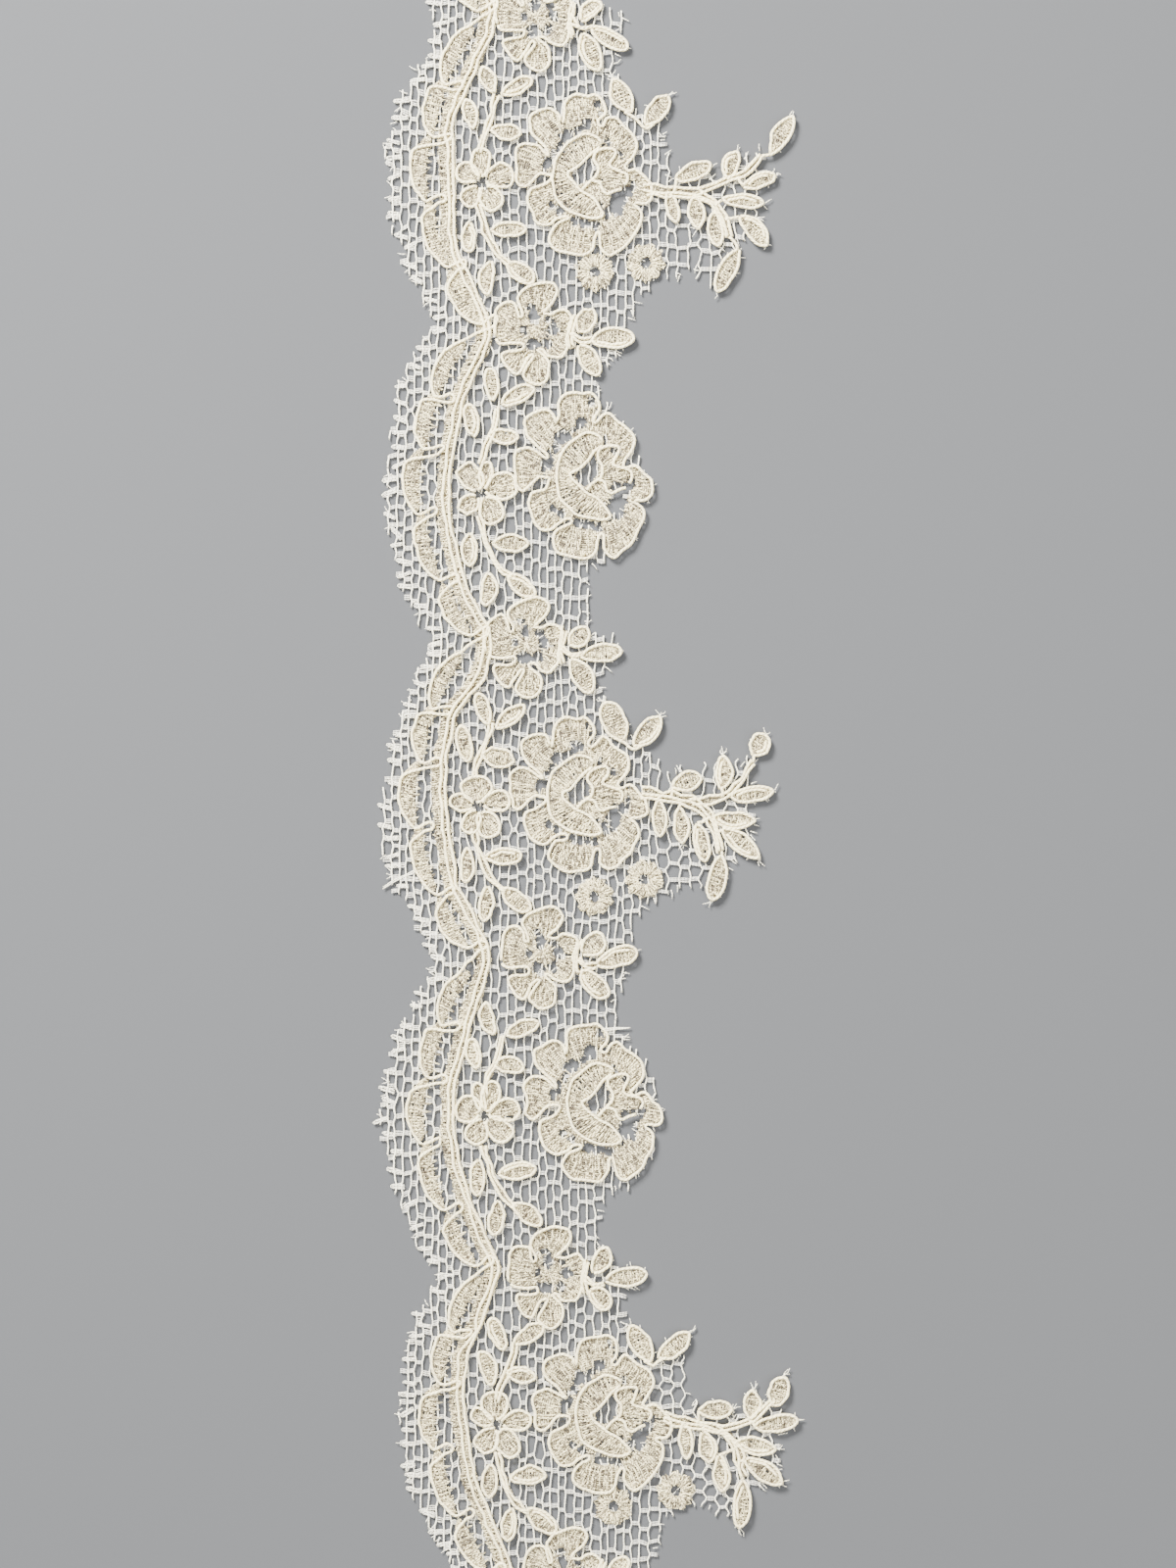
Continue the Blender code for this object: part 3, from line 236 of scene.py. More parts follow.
def smooth(points, step, closed=False):
    """Evenly spaced points on a rounded curve through the given ones."""
    p = np.asarray(points, float)
    if closed:
        q = np.vstack([p[-1:], p, p[:2]])
    else:
        q = np.vstack([2 * p[:1] - p[1:2], p, 2 * p[-1:] - p[-2:-1]])
    out = []
    for a, b, c, d in zip(q, q[1:], q[2:], q[3:]):
        count = max(2, round(np.linalg.norm(c - b) / step * 2))
        t = np.linspace(0, 1, count, endpoint=False)[:, None]
        out.append(b + 0.5 * t * (c - a + t * (2 * a - 5 * b + 4 * c - d + t * (3 * (b - c) + d - a))))
    out.append(p[:1] if closed else p[-1:])
    line = even(np.vstack(out), step)
    return line[:-1] if closed else line


def noise(rng, count, every, size):
    """A smooth random walk about zero, with a new value every so many points."""
    knots = rng.normal(0, size, max(2, math.ceil(count / every) + 2))
    return np.interp(np.arange(count) / every, np.arange(len(knots)), knots)


def wander(line, rng, size, every=4):
    """A line pushed about by hand."""
    return line + np.stack([noise(rng, len(line), every, size), noise(rng, len(line), every, size)], 1)


def beside(line, offset):
    """The line at a distance to the left of another."""
    t = np.gradient(line, axis=0)
    t /= np.linalg.norm(t, axis=1)[:, None] + 1e-9
    return line + offset * np.stack([-t[:, 1], t[:, 0]], 1)


# ---------------------------------------------------------------- the motifs

CORD_WIDTH = 0.7        # what the cord adds to the size of a leaf
SIDE_CORD = 0.8         # how far the second cord of a leaf lies from its first
SIDE_CORDS = 0.45       # share of the leaves that have one
SIDE_ENDS = (0.12, 0.85)        # where it begins and ends along its side
LEAF_POINT = 0.3        # how pointed a leaf is, from 0 for blunt to 1
ROUND_LEAF = 1.5        # a leaf whose length to its width is less than this keeps that point
LEAF_PARTS = 16
# how far the cords of a stem, of the main stem of a sprig and of its branch lie from its middle
STEM_CORDS = (-0.42, 0.42)
BROAD_STEM_CORDS, BRANCH_CORDS = (-1.25, -0.3, 1.2), (-0.7, 0.7)
STEM_TIP = 0.6          # width of the tip of a stem of a sprig to its foot
JOINT = 0.6             # a leaf farther than this from the stem gets a stalk
END_ROOM = (6, 5)       # a border leaf nearer than this to the lower or the upper cut end is left out
# how far the cords and the two sides of the band lie from its middle
BAND_OUTER, BAND_INNER, BAND_SIDES = -0.1, 1.2, (-1.9, 1.5)
# half of a leaf from its base to its tip: share of its length from its middle, share of its width
BLUNT_HALF = ((-0.5, 0.02), (-0.4, 0.25), (-0.16, 0.46), (0.14, 0.5), (0.36, 0.39), (0.48, 0.17),
              (0.5, 0.02))
POINTED_HALF = ((-0.5, 0.02), (-0.38, 0.22), (-0.14, 0.47), (0.1, 0.5), (0.32, 0.31), (0.47, 0.07),
                (0.5, 0.01))

# The cord of a flower goes clockwise round its petals, with a hook between two. x, y from the flower.
ROSE_TURN = 6           # how far the charted rose is turned
ROSE_CORD = (
    (-7.2, 12.2), (-6.9, 14.4), (-6.8, 16.2), (-6.1, 17.7), (-4.3, 18.8), (-1.2, 18.8), (0.4, 19.0),
    (1.8, 18.1), (2.7, 16.5), (2.6, 14.9), (1.6, 13.7), (1.3, 12.7), (1.9, 12.0), (2.8, 12.5), (3.6, 13.8),
    (4.7, 14.4), (5.7, 14.0), (7.1, 12.6), (9.2, 11.2), (10.5, 10.2), (11.1, 8.5), (10.9, 6.9), (10.0, 5.5),
    (9.0, 4.2), (8.4, 3.0), (9.2, 2.3), (10.5, 2.9), (11.7, 2.6), (13.6, 0.6), (14.9, -0.3), (15.3, -2.2),
    (14.9, -3.8), (13.6, -4.7), (11.6, -4.6), (11.2, -5.1), (11.9, -5.6), (13.0, -6.6), (13.4, -8.1),
    (12.8, -9.9), (11.7, -12.0), (10.2, -14.1), (8.4, -15.8), (6.6, -17.0), (5.2, -16.7), (4.2, -15.4),
    (4.0, -13.8), (3.8, -12.4), (3.2, -11.8), (2.7, -12.5), (2.4, -14.3), (1.7, -16.1), (0.1, -17.3),
    (-3.8, -17.1), (-6.3, -16.3), (-7.8, -15.0), (-8.2, -13.3), (-7.6, -11.6), (-6.3, -10.4), (-4.8, -9.9),
    (-3.8, -9.3), (-4.3, -8.7), (-5.6, -8.8), (-6.9, -9.7), (-8.2, -10.8), (-9.8, -11.1), (-11.5, -10.6),
    (-12.7, -9.1), (-13.8, -5.8), (-13.7, -4.2), (-13.1, -3.2), (-11.5, -2.7), (-10.0, -1.9), (-8.9, -0.8),
    (-9.0, 0.2), (-10.0, 0.5), (-11.3, 0.4), (-12.4, -0.3), (-14.6, -2.4), (-15.8, -2.7), (-16.6, -2.0),
    (-17.0, -0.9), (-16.8, 0.7), (-17.5, 4.3), (-17.0, 5.8), (-15.7, 6.7), (-14.0, 6.9), (-12.3, 6.3),
    (-10.6, 5.0), (-9.5, 4.4), (-9.6, 5.2), (-11.2, 6.7), (-12.8, 8.0), (-14.0, 9.4), (-14.6, 11.1),
    (-14.6, 12.9), (-13.5, 14.0), (-10.5, 15.2), (-8.9, 14.9), (-7.9, 13.9), (-7.5, 12.4),
)
# the two sides of the bent petal round the heart
ROSE_HEART = (
    ((2.6, 8.0), (1.4, 9.5), (-1.7, 9.9), (-4.8, 8.2), (-7.1, 5.9), (-8.3, 2.5), (-8.2, -1.6), (-7.4, -4.7),
     (-4.3, -7.3), (-1.2, -8.4), (2.2, -8.9), (4.5, -8.1)),
    ((2.5, 7.4), (0.9, 6.4), (-1.2, 4.3), (-3.2, 2.0), (-5.0, 1.2), (-4.6, 0.0), (-3.5, -1.1), (-1.7, -2.7),
     (1.2, -4.2), (3.2, -6.2), (4.3, -7.6)),
)
# the cords curled inside it
ROSE_CURL = (
    ((-1.3, -2.4), (-0.1, -1.1), (1.9, 0.7), (2.3, 2.0), (2.2, 3.0), (1.4, 4.1), (1.2, 5.1), (1.5, 6.2),
     (2.5, 6.9), (4.0, 7.3), (5.6, 7.2), (6.2, 6.7), (6.0, 5.6), (5.2, 4.3), (4.9, 3.5), (5.6, 2.8),
     (8.4, 2.0), (9.2, 1.5), (9.5, 0.4), (8.9, -0.9)),
    ((0.9, -0.4), (2.2, -0.5), (3.0, -1.1), (3.2, -1.9), (3.8, -2.9), (4.8, -3.2), (6.3, -2.4),
     (8.0, -1.9)),
)
# the opening in the heart of the rose
ROSE_EYE = (
    (0.2, 5.6), (-1.2, 4.0), (-3.0, 2.2), (-3.9, 1.0), (-3.2, -0.7), (-1.8, -1.7), (-0.4, -0.6), (1.3, 0.9),
    (1.6, 2.2), (1.4, 3.2), (0.7, 4.3),
)
# holes in the cloth-work of a flower: x, y from the flower, half their width and height
ROSE_GAPS = (
    (7.4, -4.7, 1.4, 2.5), (9.5, -2.4, 1.0, 1.0), (10.8, -0.8, 0.5, 1.0), (5.2, -7.3, 0.7, 1.3),
    (3.2, -5.4, 0.4, 0.4), (7.0, 6.2, 0.7, 0.7), (4.1, 8.5, 0.4, 1.0), (-1.5, 12.3, 1.0, 1.2),
    (-5.7, 9.4, 1.5, 1.2), (-3.2, 10.8, 0.8, 0.6), (-9.1, 4.3, 0.6, 1.6), (-10.4, 2.8, 0.6, 1.4),
    (-7.4, 6.9, 0.5, 1.0), (-2.3, -9.6, 0.7, 0.9), (-0.4, -10.0, 0.8, 0.8), (1.2, -10.1, 0.5, 0.6),
    (2.7, -10.5, 0.6, 0.8), (-6.1, -7.5, 0.7, 0.8), (-8.2, -6.4, 0.6, 0.8), (0.9, 17.0, 0.5, 0.8),
    (2.0, 15.0, 0.4, 0.4),
)
VALLEY_CORD = (
    (-9.4, -1.7), (-9.8, 0.5), (-9.6, 3.2), (-9.2, 4.9), (-7.8, 6.3), (-6.1, 6.7), (-5.0, 6.0), (-4.5, 4.5),
    (-4.0, 2.9), (-3.4, 2.9), (-3.2, 3.8), (-4.1, 5.8), (-4.5, 7.1), (-3.7, 8.5), (-2.6, 9.6), (1.4, 11.1),
    (3.6, 10.7), (4.9, 9.6), (5.1, 8.5), (4.0, 6.7), (1.6, 4.3), (1.8, 3.8), (3.6, 3.8), (4.9, 4.7),
    (6.7, 4.7), (8.0, 3.6), (8.5, 1.8), (7.5, -2.1), (7.4, -4.3), (6.5, -6.1), (5.4, -6.7), (3.2, -6.1),
    (1.8, -4.8), (0.9, -4.6), (0.6, -5.3), (2.9, -7.6), (3.2, -9.2), (2.7, -11.4), (1.0, -12.7),
    (-0.8, -12.7), (-2.6, -11.4), (-2.8, -10.0), (-0.8, -6.7), (-0.6, -6.0), (-1.2, -5.9), (-2.3, -7.0),
    (-3.7, -9.6), (-4.5, -10.5), (-6.1, -9.8), (-7.4, -7.8), (-8.1, -6.1), (-7.4, -5.2), (-4.8, -5.0),
    (-3.0, -4.3), (-3.2, -3.1), (-5.2, -3.4), (-8.7, -3.0),
)
VALLEY_GAPS = (
    (-0.5, 3.0, 0.8, 1.3), (3.9, 0.2, 0.9, 1.0), (-0.8, -3.4, 1.2, 1.1), (2.5, -3.2, 0.9, 0.9),
    (-1.3, 5.4, 0.7, 0.5), (2.9, 2.7, 0.7, 0.7), (-3.0, 0.2, 0.6, 0.8),
)
FLORET_EYE = 1.3        # where the petals of a small flower begin
FLORET_GAPS = ((0.0, 0.0, 0.9, 1.1),)
# half of a petal of the small flower: share of the way from the eye to the tip, share of the width
PETAL_HALF = ((0.0, 0.1), (0.15, 0.33), (0.4, 0.48), (0.68, 0.5), (0.89, 0.37), (0.98, 0.15))
VALLEY_STEM = ((8.9, 3.4), (8.2, 0.6), (8.0, -1.8), (8.6, -4.6))
VALLEY_TWIG = ((8.3, -1.0), (10.4, -2.6), (13.0, -2.4))
# the hook of the border cord, from the foot of a leaf
HOOK = ((0.2, -0.5), (1.9, -0.2), (3.4, 0.6), (4.5, 0.7), (4.9, -0.1), (4.3, -1.0), (2.9, -1.5))
# the cord below a pair of leaves: share of the way from the left foot to the right one, x and y from there
BUD_CORD = ((0, -1.6, 0.2), (0, 0.3, -0.9), (0.5, 0.1, -1.0), (1, 0.2, -0.7), (1, 2.0, 0.3))


def leaf_sides(x, y, length, width, angle, bow, point):
    """The two sides of a leaf, from its base to its tip, which is blunt or more or less pointed."""
    sides = []
    shape = (1 - point) * np.array(BLUNT_HALF) + point * np.array(POINTED_HALF)
    for sign in (-1, 1):
        half = [(u * length, sign * v * width + bow * (0.25 - u * u) * 4) for u, v in shape]
        sides.append(even(smooth(place(half, x, y, angle), 0.5), length / LEAF_PARTS))
    count = min(len(s) for s in sides)
    return [at(s, np.linspace(0, 1, count)) for s in sides]


def crescent_sides(x, y, length, width, angle, bow):
    """The inner and the outer side of a bent leaf."""
    t = np.linspace(-1, 1, 25)
    mid = bow * (0.5 - t * t)
    half = width / 2 * (1 - np.abs(t) ** 2.6) ** 0.6
    sides = [np.stack([t * length / 2, mid + sign * half], 1) for sign in (-1, 1)]
    return [place(s, x, y, angle) for s in sides]


def polar(radius, angle, cx, cy):
    """The point, or points, at a radius and an angle from a centre."""
    turn = np.radians(angle)
    return np.stack([cx + radius * np.cos(turn), cy + radius * np.sin(turn)], -1)


def petal(angle, reach, width):
    """The cord of one petal of a small flower that lies at zero."""
    inner = CORD_WIDTH / 2
    half = [(FLORET_EYE + u * (reach - inner - FLORET_EYE), v * (width - CORD_WIDTH)) for u, v in PETAL_HALF]
    return place(half + [(u, -v) for u, v in half[::-1]], 0, 0, angle)


def flower(kind, lobes, gaps, x, y, turn, rng, stretch=1.0):
    """A flower: its closed cords, its holes and its centre, each a little different."""
    cords = []
    for lobe in lobes:
        shaken = np.array(lobe) + rng.normal(0, 0.12, (len(lobe), 2))
        cords.append(smooth(place(shaken * (1, stretch), x, y, turn), 0.7, True))
    turns = np.linspace(0, 2 * math.pi, 15)[:-1]
    holes = []
    for gx, gy, wide, high in gaps:
        size = rng.uniform(1.15, 1.5)
        rough = 1 + rng.normal(0, 0.14, len(turns))
        shape = np.stack([gx + size * wide * rough * np.cos(turns),
                          stretch * (gy + size * high * rough * np.sin(turns))], 1)
        holes.append(place(shape, x, y, turn))
    return kind, cords, holes, (x, y)


def band_x(y):
    """Middle of the cloth-work band at a height."""
    xs, ys = np.array(BAND)[::-1].T
    return np.interp(y, ys, xs)


def band_line(offset):
    """A line along the band, to the right of its middle by the offset."""
    low, high = Y_END + 0.3, Y_TOP - 0.3
    ys = np.linspace(low, high, max(3, round((high - low) / 2.5)))
    return within(beside(smooth([(band_x(y), y) for y in ys], 0.8), -offset))


def within(line):
    """The part of a line between the cut ends."""
    return line[(line[:, 1] < Y_TOP) & (line[:, 1] > Y_END)]


def add_leaf(patches, cords, rng, unit, leaf, dx=0.0, dy=0.0, point=LEAF_POINT):
    """A leaf of cloth-work with its cord, and now and then a second cord along one side."""
    x, y, length, width, angle = leaf
    if length < ROUND_LEAF * width:
        point = LEAF_POINT
    bow = rng.normal(0, 0.25)
    point += rng.uniform(-0.3, 0.3)
    sides = leaf_sides(dx + x, dy + y, length - CORD_WIDTH, width - CORD_WIDTH, angle, bow, point)
    patches.append(("leaf", unit, *sides))
    cords.append(np.vstack([sides[0], sides[1][::-1]]))
    if rng.random() < SIDE_CORDS:
        side, way = (sides[0], SIDE_CORD) if rng.random() < 0.5 else (sides[1], -SIDE_CORD)
        first, last = [int(share * len(side)) for share in SIDE_ENDS]
        cords.append(beside(side, way)[first:last])
    return sides[0][0]


def add_stem(patches, cords, rng, unit, points, dx, dy, offsets=STEM_CORDS, tip=1.0):
    """A stem: cords side by side on cloth-work, drawn together to this share of its width at its tip."""
    stem = smooth([(dx + x, dy + y) for x, y in points], 0.8)
    narrow = np.linspace(1, tip, len(stem))[:, None]
    cords += [wander(beside(stem, off * narrow), rng, 0.24, 3) for off in offsets]
    half = offsets[-1] * narrow
    patches.append(("stem", unit, beside(stem, -half), beside(stem, half)))
    return stem


def add_rose(patches, flowers, cords, rng, n):
    """The rose of a unit: its petals, the bent petal round its heart and the cords curled inside that."""
    x, y, turn, stretch, heart_x = ROSES[n]
    turn -= ROSE_TURN

    def inner(line):
        return place(np.array(line) * (1, stretch), x + heart_x, y, turn)

    rose = flower("rose", [ROSE_CORD], ROSE_GAPS, x, y, turn, rng, stretch)
    rose[2].append(inner(ROSE_EYE))
    flowers.append(rose)
    outer, eye = [smooth(inner(line), 0.5) for line in ROSE_HEART]
    patches.append(("heart", n, eye, outer))
    rim = smooth(np.vstack([outer[::3], eye[::-3]]), 0.8, True)
    cords[f"rose_cord_{n}"] = [*rose[1], rim, *[smooth(inner(line), 0.7) for line in ROSE_CURL]]


def add_sprig(patches, cords, rng, n):
    """The sprig of a unit, the two leaves above it and the two ring flowers below it."""
    sprig = cords.setdefault(f"sprig_cord_{n}", [])
    ways = np.vstack([add_stem(patches, sprig, rng, n, line, 0, 0, offsets, STEM_TIP)
                      for line, offsets in zip(SPRIG_STEMS[n], (BROAD_STEM_CORDS, BRANCH_CORDS))])
    for leaf in SPRIGS[n]:
        base = add_leaf(patches, sprig, rng, n, leaf, point=0.5)
        joint = ways[np.argmin(np.linalg.norm(ways - base, axis=1))]
        if np.linalg.norm(joint - base) > JOINT:
            sprig.append(smooth([base, (base + joint) / 2 + rng.normal(0, 0.2, 2), joint], 0.6))
    bud = cords.setdefault(f"bud_cord_{n}", [])
    left, right = [add_leaf(patches, bud, rng, n, leaf, point=0.4) for leaf in BUDS[n]]
    bud.append(smooth([(1 - share) * left + share * right + (dx, dy) for share, dx, dy in BUD_CORD], 0.6))
    turns = np.linspace(0, 2 * math.pi, 60)
    rim = RING_R - 0.3 + RING_WAVE * np.cos(RING_WAVES * turns + n)
    for x, y in RINGS[n]:
        cx, cy = UNITS[n][0] + x, UNITS[n][1] + y
        sides = [np.stack([cx + r * np.cos(turns), cy + r * np.sin(turns)], 1) for r in (RING_EYE, rim)]
        patches.append(("ring", n, *sides))


@lru_cache(maxsize=None)
def chart():
    """Patches of cloth-work as (kind, unit, one side, other side), flowers, and the lines of each cord."""
    rng = np.random.default_rng(SEED)
    patches, flowers, cords, outline = [], [], {}, []
    for n, (ux, uy, crest, _) in UNITS.items():
        for dx, dy, length, width, tilt, bow in BORDER_LEAVES:
            y = uy + dy
            if not Y_END + END_ROOM[0] < y < Y_TOP - END_ROOM[1]:
                continue
            length *= rng.uniform(0.97, 1.05)
            inner, outer = crescent_sides(crest + dx, y, length, width, 90 + tilt, bow)
            patches.append(("crescent", n, within(inner), within(outer)))
            outline.append((y, tilt, outer[::-1], inner[0]))
        if n not in SPRAYS:
            continue
        spray = cords.setdefault(f"spray_cord_{n}", [])
        for leaf in SPRAYS[n]:
            add_leaf(patches, spray, rng, n, leaf)
        for line in SPRAY_STEMS:
            add_stem(patches, spray, rng, n, line, ux, uy)
        fx, fy, petals = FLORETS[n]
        flowers.append(flower("floret", [petal(*sizes) for sizes in petals], FLORET_GAPS, fx, fy, 0, rng))
        spray += flowers[-1][1]
        add_rose(patches, flowers, cords, rng, n)
        if n in SPRIGS:
            add_sprig(patches, cords, rng, n)
    for n, (vx, vy) in enumerate(VALLEYS):
        valley = cords.setdefault(f"valley_cord_{n}", [])
        flowers.append(flower("valley", [VALLEY_CORD], VALLEY_GAPS, vx, vy, 0, rng))
        valley += flowers[-1][1]
        for leaf in VALLEY_LEAVES[n]:
            add_leaf(patches, valley, rng, n, leaf, vx, vy)
        for line in (VALLEY_STEM, VALLEY_TWIG):
            add_stem(patches, valley, rng, n, line, vx, vy)
    path = []
    for y, tilt, side, foot in sorted(outline, key=lambda item: -item[0]):
        path += list(side[5 if path else 2:-2:4])
        hook = np.array(HOOK) + rng.normal(0, 0.12, (len(HOOK), 2))
        path += list(place(hook, *foot, tilt * 0.4))
    cords["border_cord"] = [within(smooth(path, 0.6))]
    cords["band_cord_outer"] = [wander(band_line(BAND_OUTER), rng, 0.2, 4)]
    cords["band_cord_inner"] = [wander(band_line(BAND_INNER), rng, 0.16, 5)]
    band = [band_line(offset) for offset in BAND_SIDES]
    count = min(len(side) for side in band)
    patches.append(("band", 0, *[wander(at(side, np.linspace(0, 1, count)), rng, 0.2, 5) for side in band]))
    return patches, flowers, cords


# ---------------------------------------------------------------- where there is net, and cloth-work

GRID = 0.2              # size of a cell
GRID_LOW = (-62.0, -208.0)
GRID_SIZE = (620, 2050)
EYE_REACH = 5.5         # holes of a rose nearer than this to its middle show threads of net


def fill_grid(grid, points, value=True):
    """Marks, or clears, the cells inside an outline."""
    p = (np.asarray(points) - GRID_LOW) / GRID
    x0, y0 = np.clip(np.floor(p.min(0)).astype(int), 0, None)
    x1, y1 = np.minimum(np.ceil(p.max(0)).astype(int) + 1, GRID_SIZE)
    gx, gy = np.meshgrid(np.arange(x0, x1) + 0.5, np.arange(y0, y1) + 0.5, indexing="ij")
    hit = np.zeros(gx.shape, bool)
    for (ax, ay), (bx, by) in zip(p, np.roll(p, -1, 0)):
        if ay == by:
            continue
        hit ^= ((ay > gy) != (by > gy)) & (gx < ax + (gy - ay) * (bx - ax) / (by - ay))
    grid[x0:x1, y0:y1][hit] = value


def grown(grid, cells):
    """A mask widened, or narrowed for a negative number of cells."""
    out = grid if cells > 0 else ~grid
    for _ in range(abs(cells)):
        wide = out.copy()
        wide[1:] |= out[:-1]
        wide[:-1] |= out[1:]
        wide[:, 1:] |= out[:, :-1]
        wide[:, :-1] |= out[:, 1:]
        out = wide
    return out if cells > 0 else ~out


def hits(grid, points):
    """Which points lie on marked cells."""
    p = ((np.asarray(points)[:, :2] - GRID_LOW) / GRID).astype(int)
    p = np.clip(p, 0, np.array(GRID_SIZE) - 1)
    return grid[p[:, 0], p[:, 1]]


def net_outline():
    """Edge of the net, round the lace."""
    left, right = [], []
    for n, (ux, uy, crest, shift) in UNITS.items():
        left += [(crest + x, uy + y) for x, y in zip(LEFT_EDGE.get(n, END_EDGE), EDGE_Y)]
        right += [(ux + shift + x, uy + y) for x, y in SPRIG_EDGE.get(n, PLAIN_EDGE)]
        if n < len(VALLEYS):
            vx, vy = VALLEYS[n]
            right += [(vx + x, vy + y) for x, y in VALLEY_EDGE]
    return left + right[::-1]


@lru_cache(maxsize=None)
def masks():
    """Where the net reaches, what the cloth-work covers, the petals, and the openings in the hearts."""
    rng = np.random.default_rng(SEED + 3)
    net = np.zeros(GRID_SIZE, bool)
    edge = even(np.array(net_outline()), 1.5)
    fill_grid(net, edge + rng.normal(0, 0.55, edge.shape))
    ys = GRID_LOW[1] + GRID * (np.arange(GRID_SIZE[1]) + 0.5)
    net[:, (ys < Y_END) | (ys > Y_TOP)] = False
    petals, eyes = np.zeros(GRID_SIZE, bool), np.zeros(GRID_SIZE, bool)
    patches, flowers, _ = chart()
    for kind, lobes, holes, centre in flowers:
        for lobe in lobes:
            fill_grid(petals, lobe)
        for hole in holes:
            fill_grid(petals, hole, False)
            if kind != "rose" or np.linalg.norm(hole.mean(0) - centre) > EYE_REACH:
                fill_grid(net, hole, False)
            else:
                fill_grid(eyes, hole)
    cloth = petals.copy()
    for kind, _, low, high in patches:
        fill_grid(cloth, np.vstack([low, high[::-1]]))
        if kind == "heart":
            fill_grid(petals, np.vstack([low, high[::-1]]), False)
        elif kind == "ring":
            fill_grid(net, low, False)
    return net, cloth, petals, eyes


# ---------------------------------------------------------------- threads as meshes

class Threads:
    """Threads gathered into one mesh, with the run along each thread and its tone."""

    def __init__(self, sides):
        turn = (np.arange(sides) * 2 + 1) * math.pi / sides + math.pi / 2
        self.sides, self.ring = sides, np.stack([np.cos(turn), np.sin(turn)], 1)
        self.points, self.tones, self.count = [], [], 0
        self.corners, self.sizes, self.uvs = [], [], []

    def faces(self, corners, uvs):
        """Faces with the same number of corners."""
        self.corners.append(corners.ravel())
        self.sizes.append(np.full(corners.size // corners.shape[-1], corners.shape[-1]))
        self.uvs.append(np.broadcast_to(uvs, corners.shape + (2,)).reshape(-1, 2))

    def add(self, line, z, radius, tone):
        """One thread along a line at these heights."""
        p = np.column_stack([line, z])
        n, sides = len(p), self.sides
        t = np.gradient(p, axis=0)
        t /= np.linalg.norm(t, axis=1)[:, None] + 1e-9
        side = np.stack([-t[:, 1], t[:, 0], np.zeros(n)], 1)
        side /= np.linalg.norm(side, axis=1)[:, None] + 1e-9
        up = np.cross(t, side)
        radius = np.broadcast_to(np.asarray(radius, float), (n,))[:, None, None]
        ring = side[:, None] * self.ring[None, :, :1] + up[:, None] * self.ring[None, :, 1:]
        self.points.append((p[:, None] + radius * ring).reshape(-1, 3))
        self.tones.append(np.repeat(np.broadcast_to(np.asarray(tone, float), (n,)), sides))
        run = lengths(p)
        k = np.arange(n - 1)[:, None, None] + (0, 0, 1, 1)
        j = np.arange(sides)[:, None] + (0, 1, 1, 0)
        self.faces(self.count + k * sides + j % sides, np.stack(np.broadcast_arrays(run[k], j / sides), -1))
        cap = self.count + np.arange(sides)
        self.faces(cap[None, ::-1], np.array((run[0], 0.0)))
        self.faces((cap + (n - 1) * sides)[None], np.array((run[-1], 0.0)))
        self.count += n * sides

    def take(self, other):
        """Adds all the threads gathered in another one."""
        self.points += other.points
        self.tones += other.tones
        self.corners += [corners + self.count for corners in other.corners]
        self.sizes += other.sizes
        self.uvs += other.uvs
        self.count += other.count

    def make(self, name, material, node_name, slot):
        """The object of all that was gathered, in metres and in the part's frame."""
        mesh = bpy.data.meshes.new(name)
        co = np.vstack(self.points)
        co[:, :2] -= ORIGIN
        corners, sizes = np.concatenate(self.corners), np.concatenate(self.sizes)
        mesh.vertices.add(len(co))
        mesh.vertices.foreach_set("co", (co * MM).ravel())
        mesh.loops.add(len(corners))
        mesh.loops.foreach_set("vertex_index", corners)
        mesh.polygons.add(len(sizes))
        mesh.polygons.foreach_set("loop_start", np.concatenate([[0], np.cumsum(sizes)[:-1]]))
        mesh.update(calc_edges=True)
        mesh.uv_layers.new(name="thread").data.foreach_set("uv", np.vstack(self.uvs).ravel())
        # tone varies at random; on the cloth-work its low values are painted shade
        tone = mesh.attributes.new("tone", "FLOAT", "POINT")
        tone.data.foreach_set("value", np.clip(np.concatenate(self.tones), 0, 1))
        mesh.materials.append(material)
        obj = bpy.data.objects.new(name, mesh)
        bpy.context.scene.collection.objects.link(obj)
        bpy.ops.object.select_all(action="DESELECT")
        obj.select_set(True)
        bpy.context.view_layer.objects.active = obj
        bpy.ops.object.shade_smooth()
        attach(obj, "root")
        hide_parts(node_name)
        return obj


RIM = 0.74          # height of the cloth-work at its edge
UNDER = 0.1         # how far the threads that run along lie below the middle of the cross threads
WEAVE = 0.16        # how far a cross thread goes up and down over and under them
WEFT = 1.2          # thickness of a thread that runs along to that of a cross thread
DOME, DOMES = 0.25, {"band": 0.1, "stem": 0.05}     # how far the middle is raised above the edge
TONE, TONES = 0.86, {"ring": 1.0, "band": 0.88, "crescent": 0.9, "stem": 0.5}
SHADED_STITCHES, SHADED_GAPS = 0.4, 0.6   # share of the stitches given painted shade as if they lay deep, and of the gaps given painted shade
RING_STEP, PATCH_STEP = 0.62, 0.8   # between two points of a thread that runs round, or along


def runs(inside):
    """First and last point of each stretch that lies inside."""
    steps = np.flatnonzero(np.diff(np.concatenate([[0], inside.astype(int), [0]])))
    return zip(steps[::2], steps[1::2])


def shaded_stitch_tones(rng, tone, count):
    """Tones along a cloth-work thread, varied at random, with painted shade on some of its stitches as if
    they lay deep.
    """
    tones = tone + rng.normal(0, 0.07) + rng.normal(0, 0.12, count)
    return np.where(rng.random(count) < SHADED_STITCHES, tones - rng.uniform(0.5, 0.95, count), tones)


def crossing(rng, count):
    """Tones of a thread that shows between the cross threads, with painted shade at many of its points for
    the dark gaps.
    """
    tones = 0.6 + rng.normal(0, 0.16, count)
    return np.where(rng.random(count) < SHADED_GAPS, rng.uniform(0.0, 0.2, count), tones)


def weave(crossings):
    """Heights of a thread that goes over and under at each crossing."""
    return WEAVE * (1 - 2 * (crossings % 2))


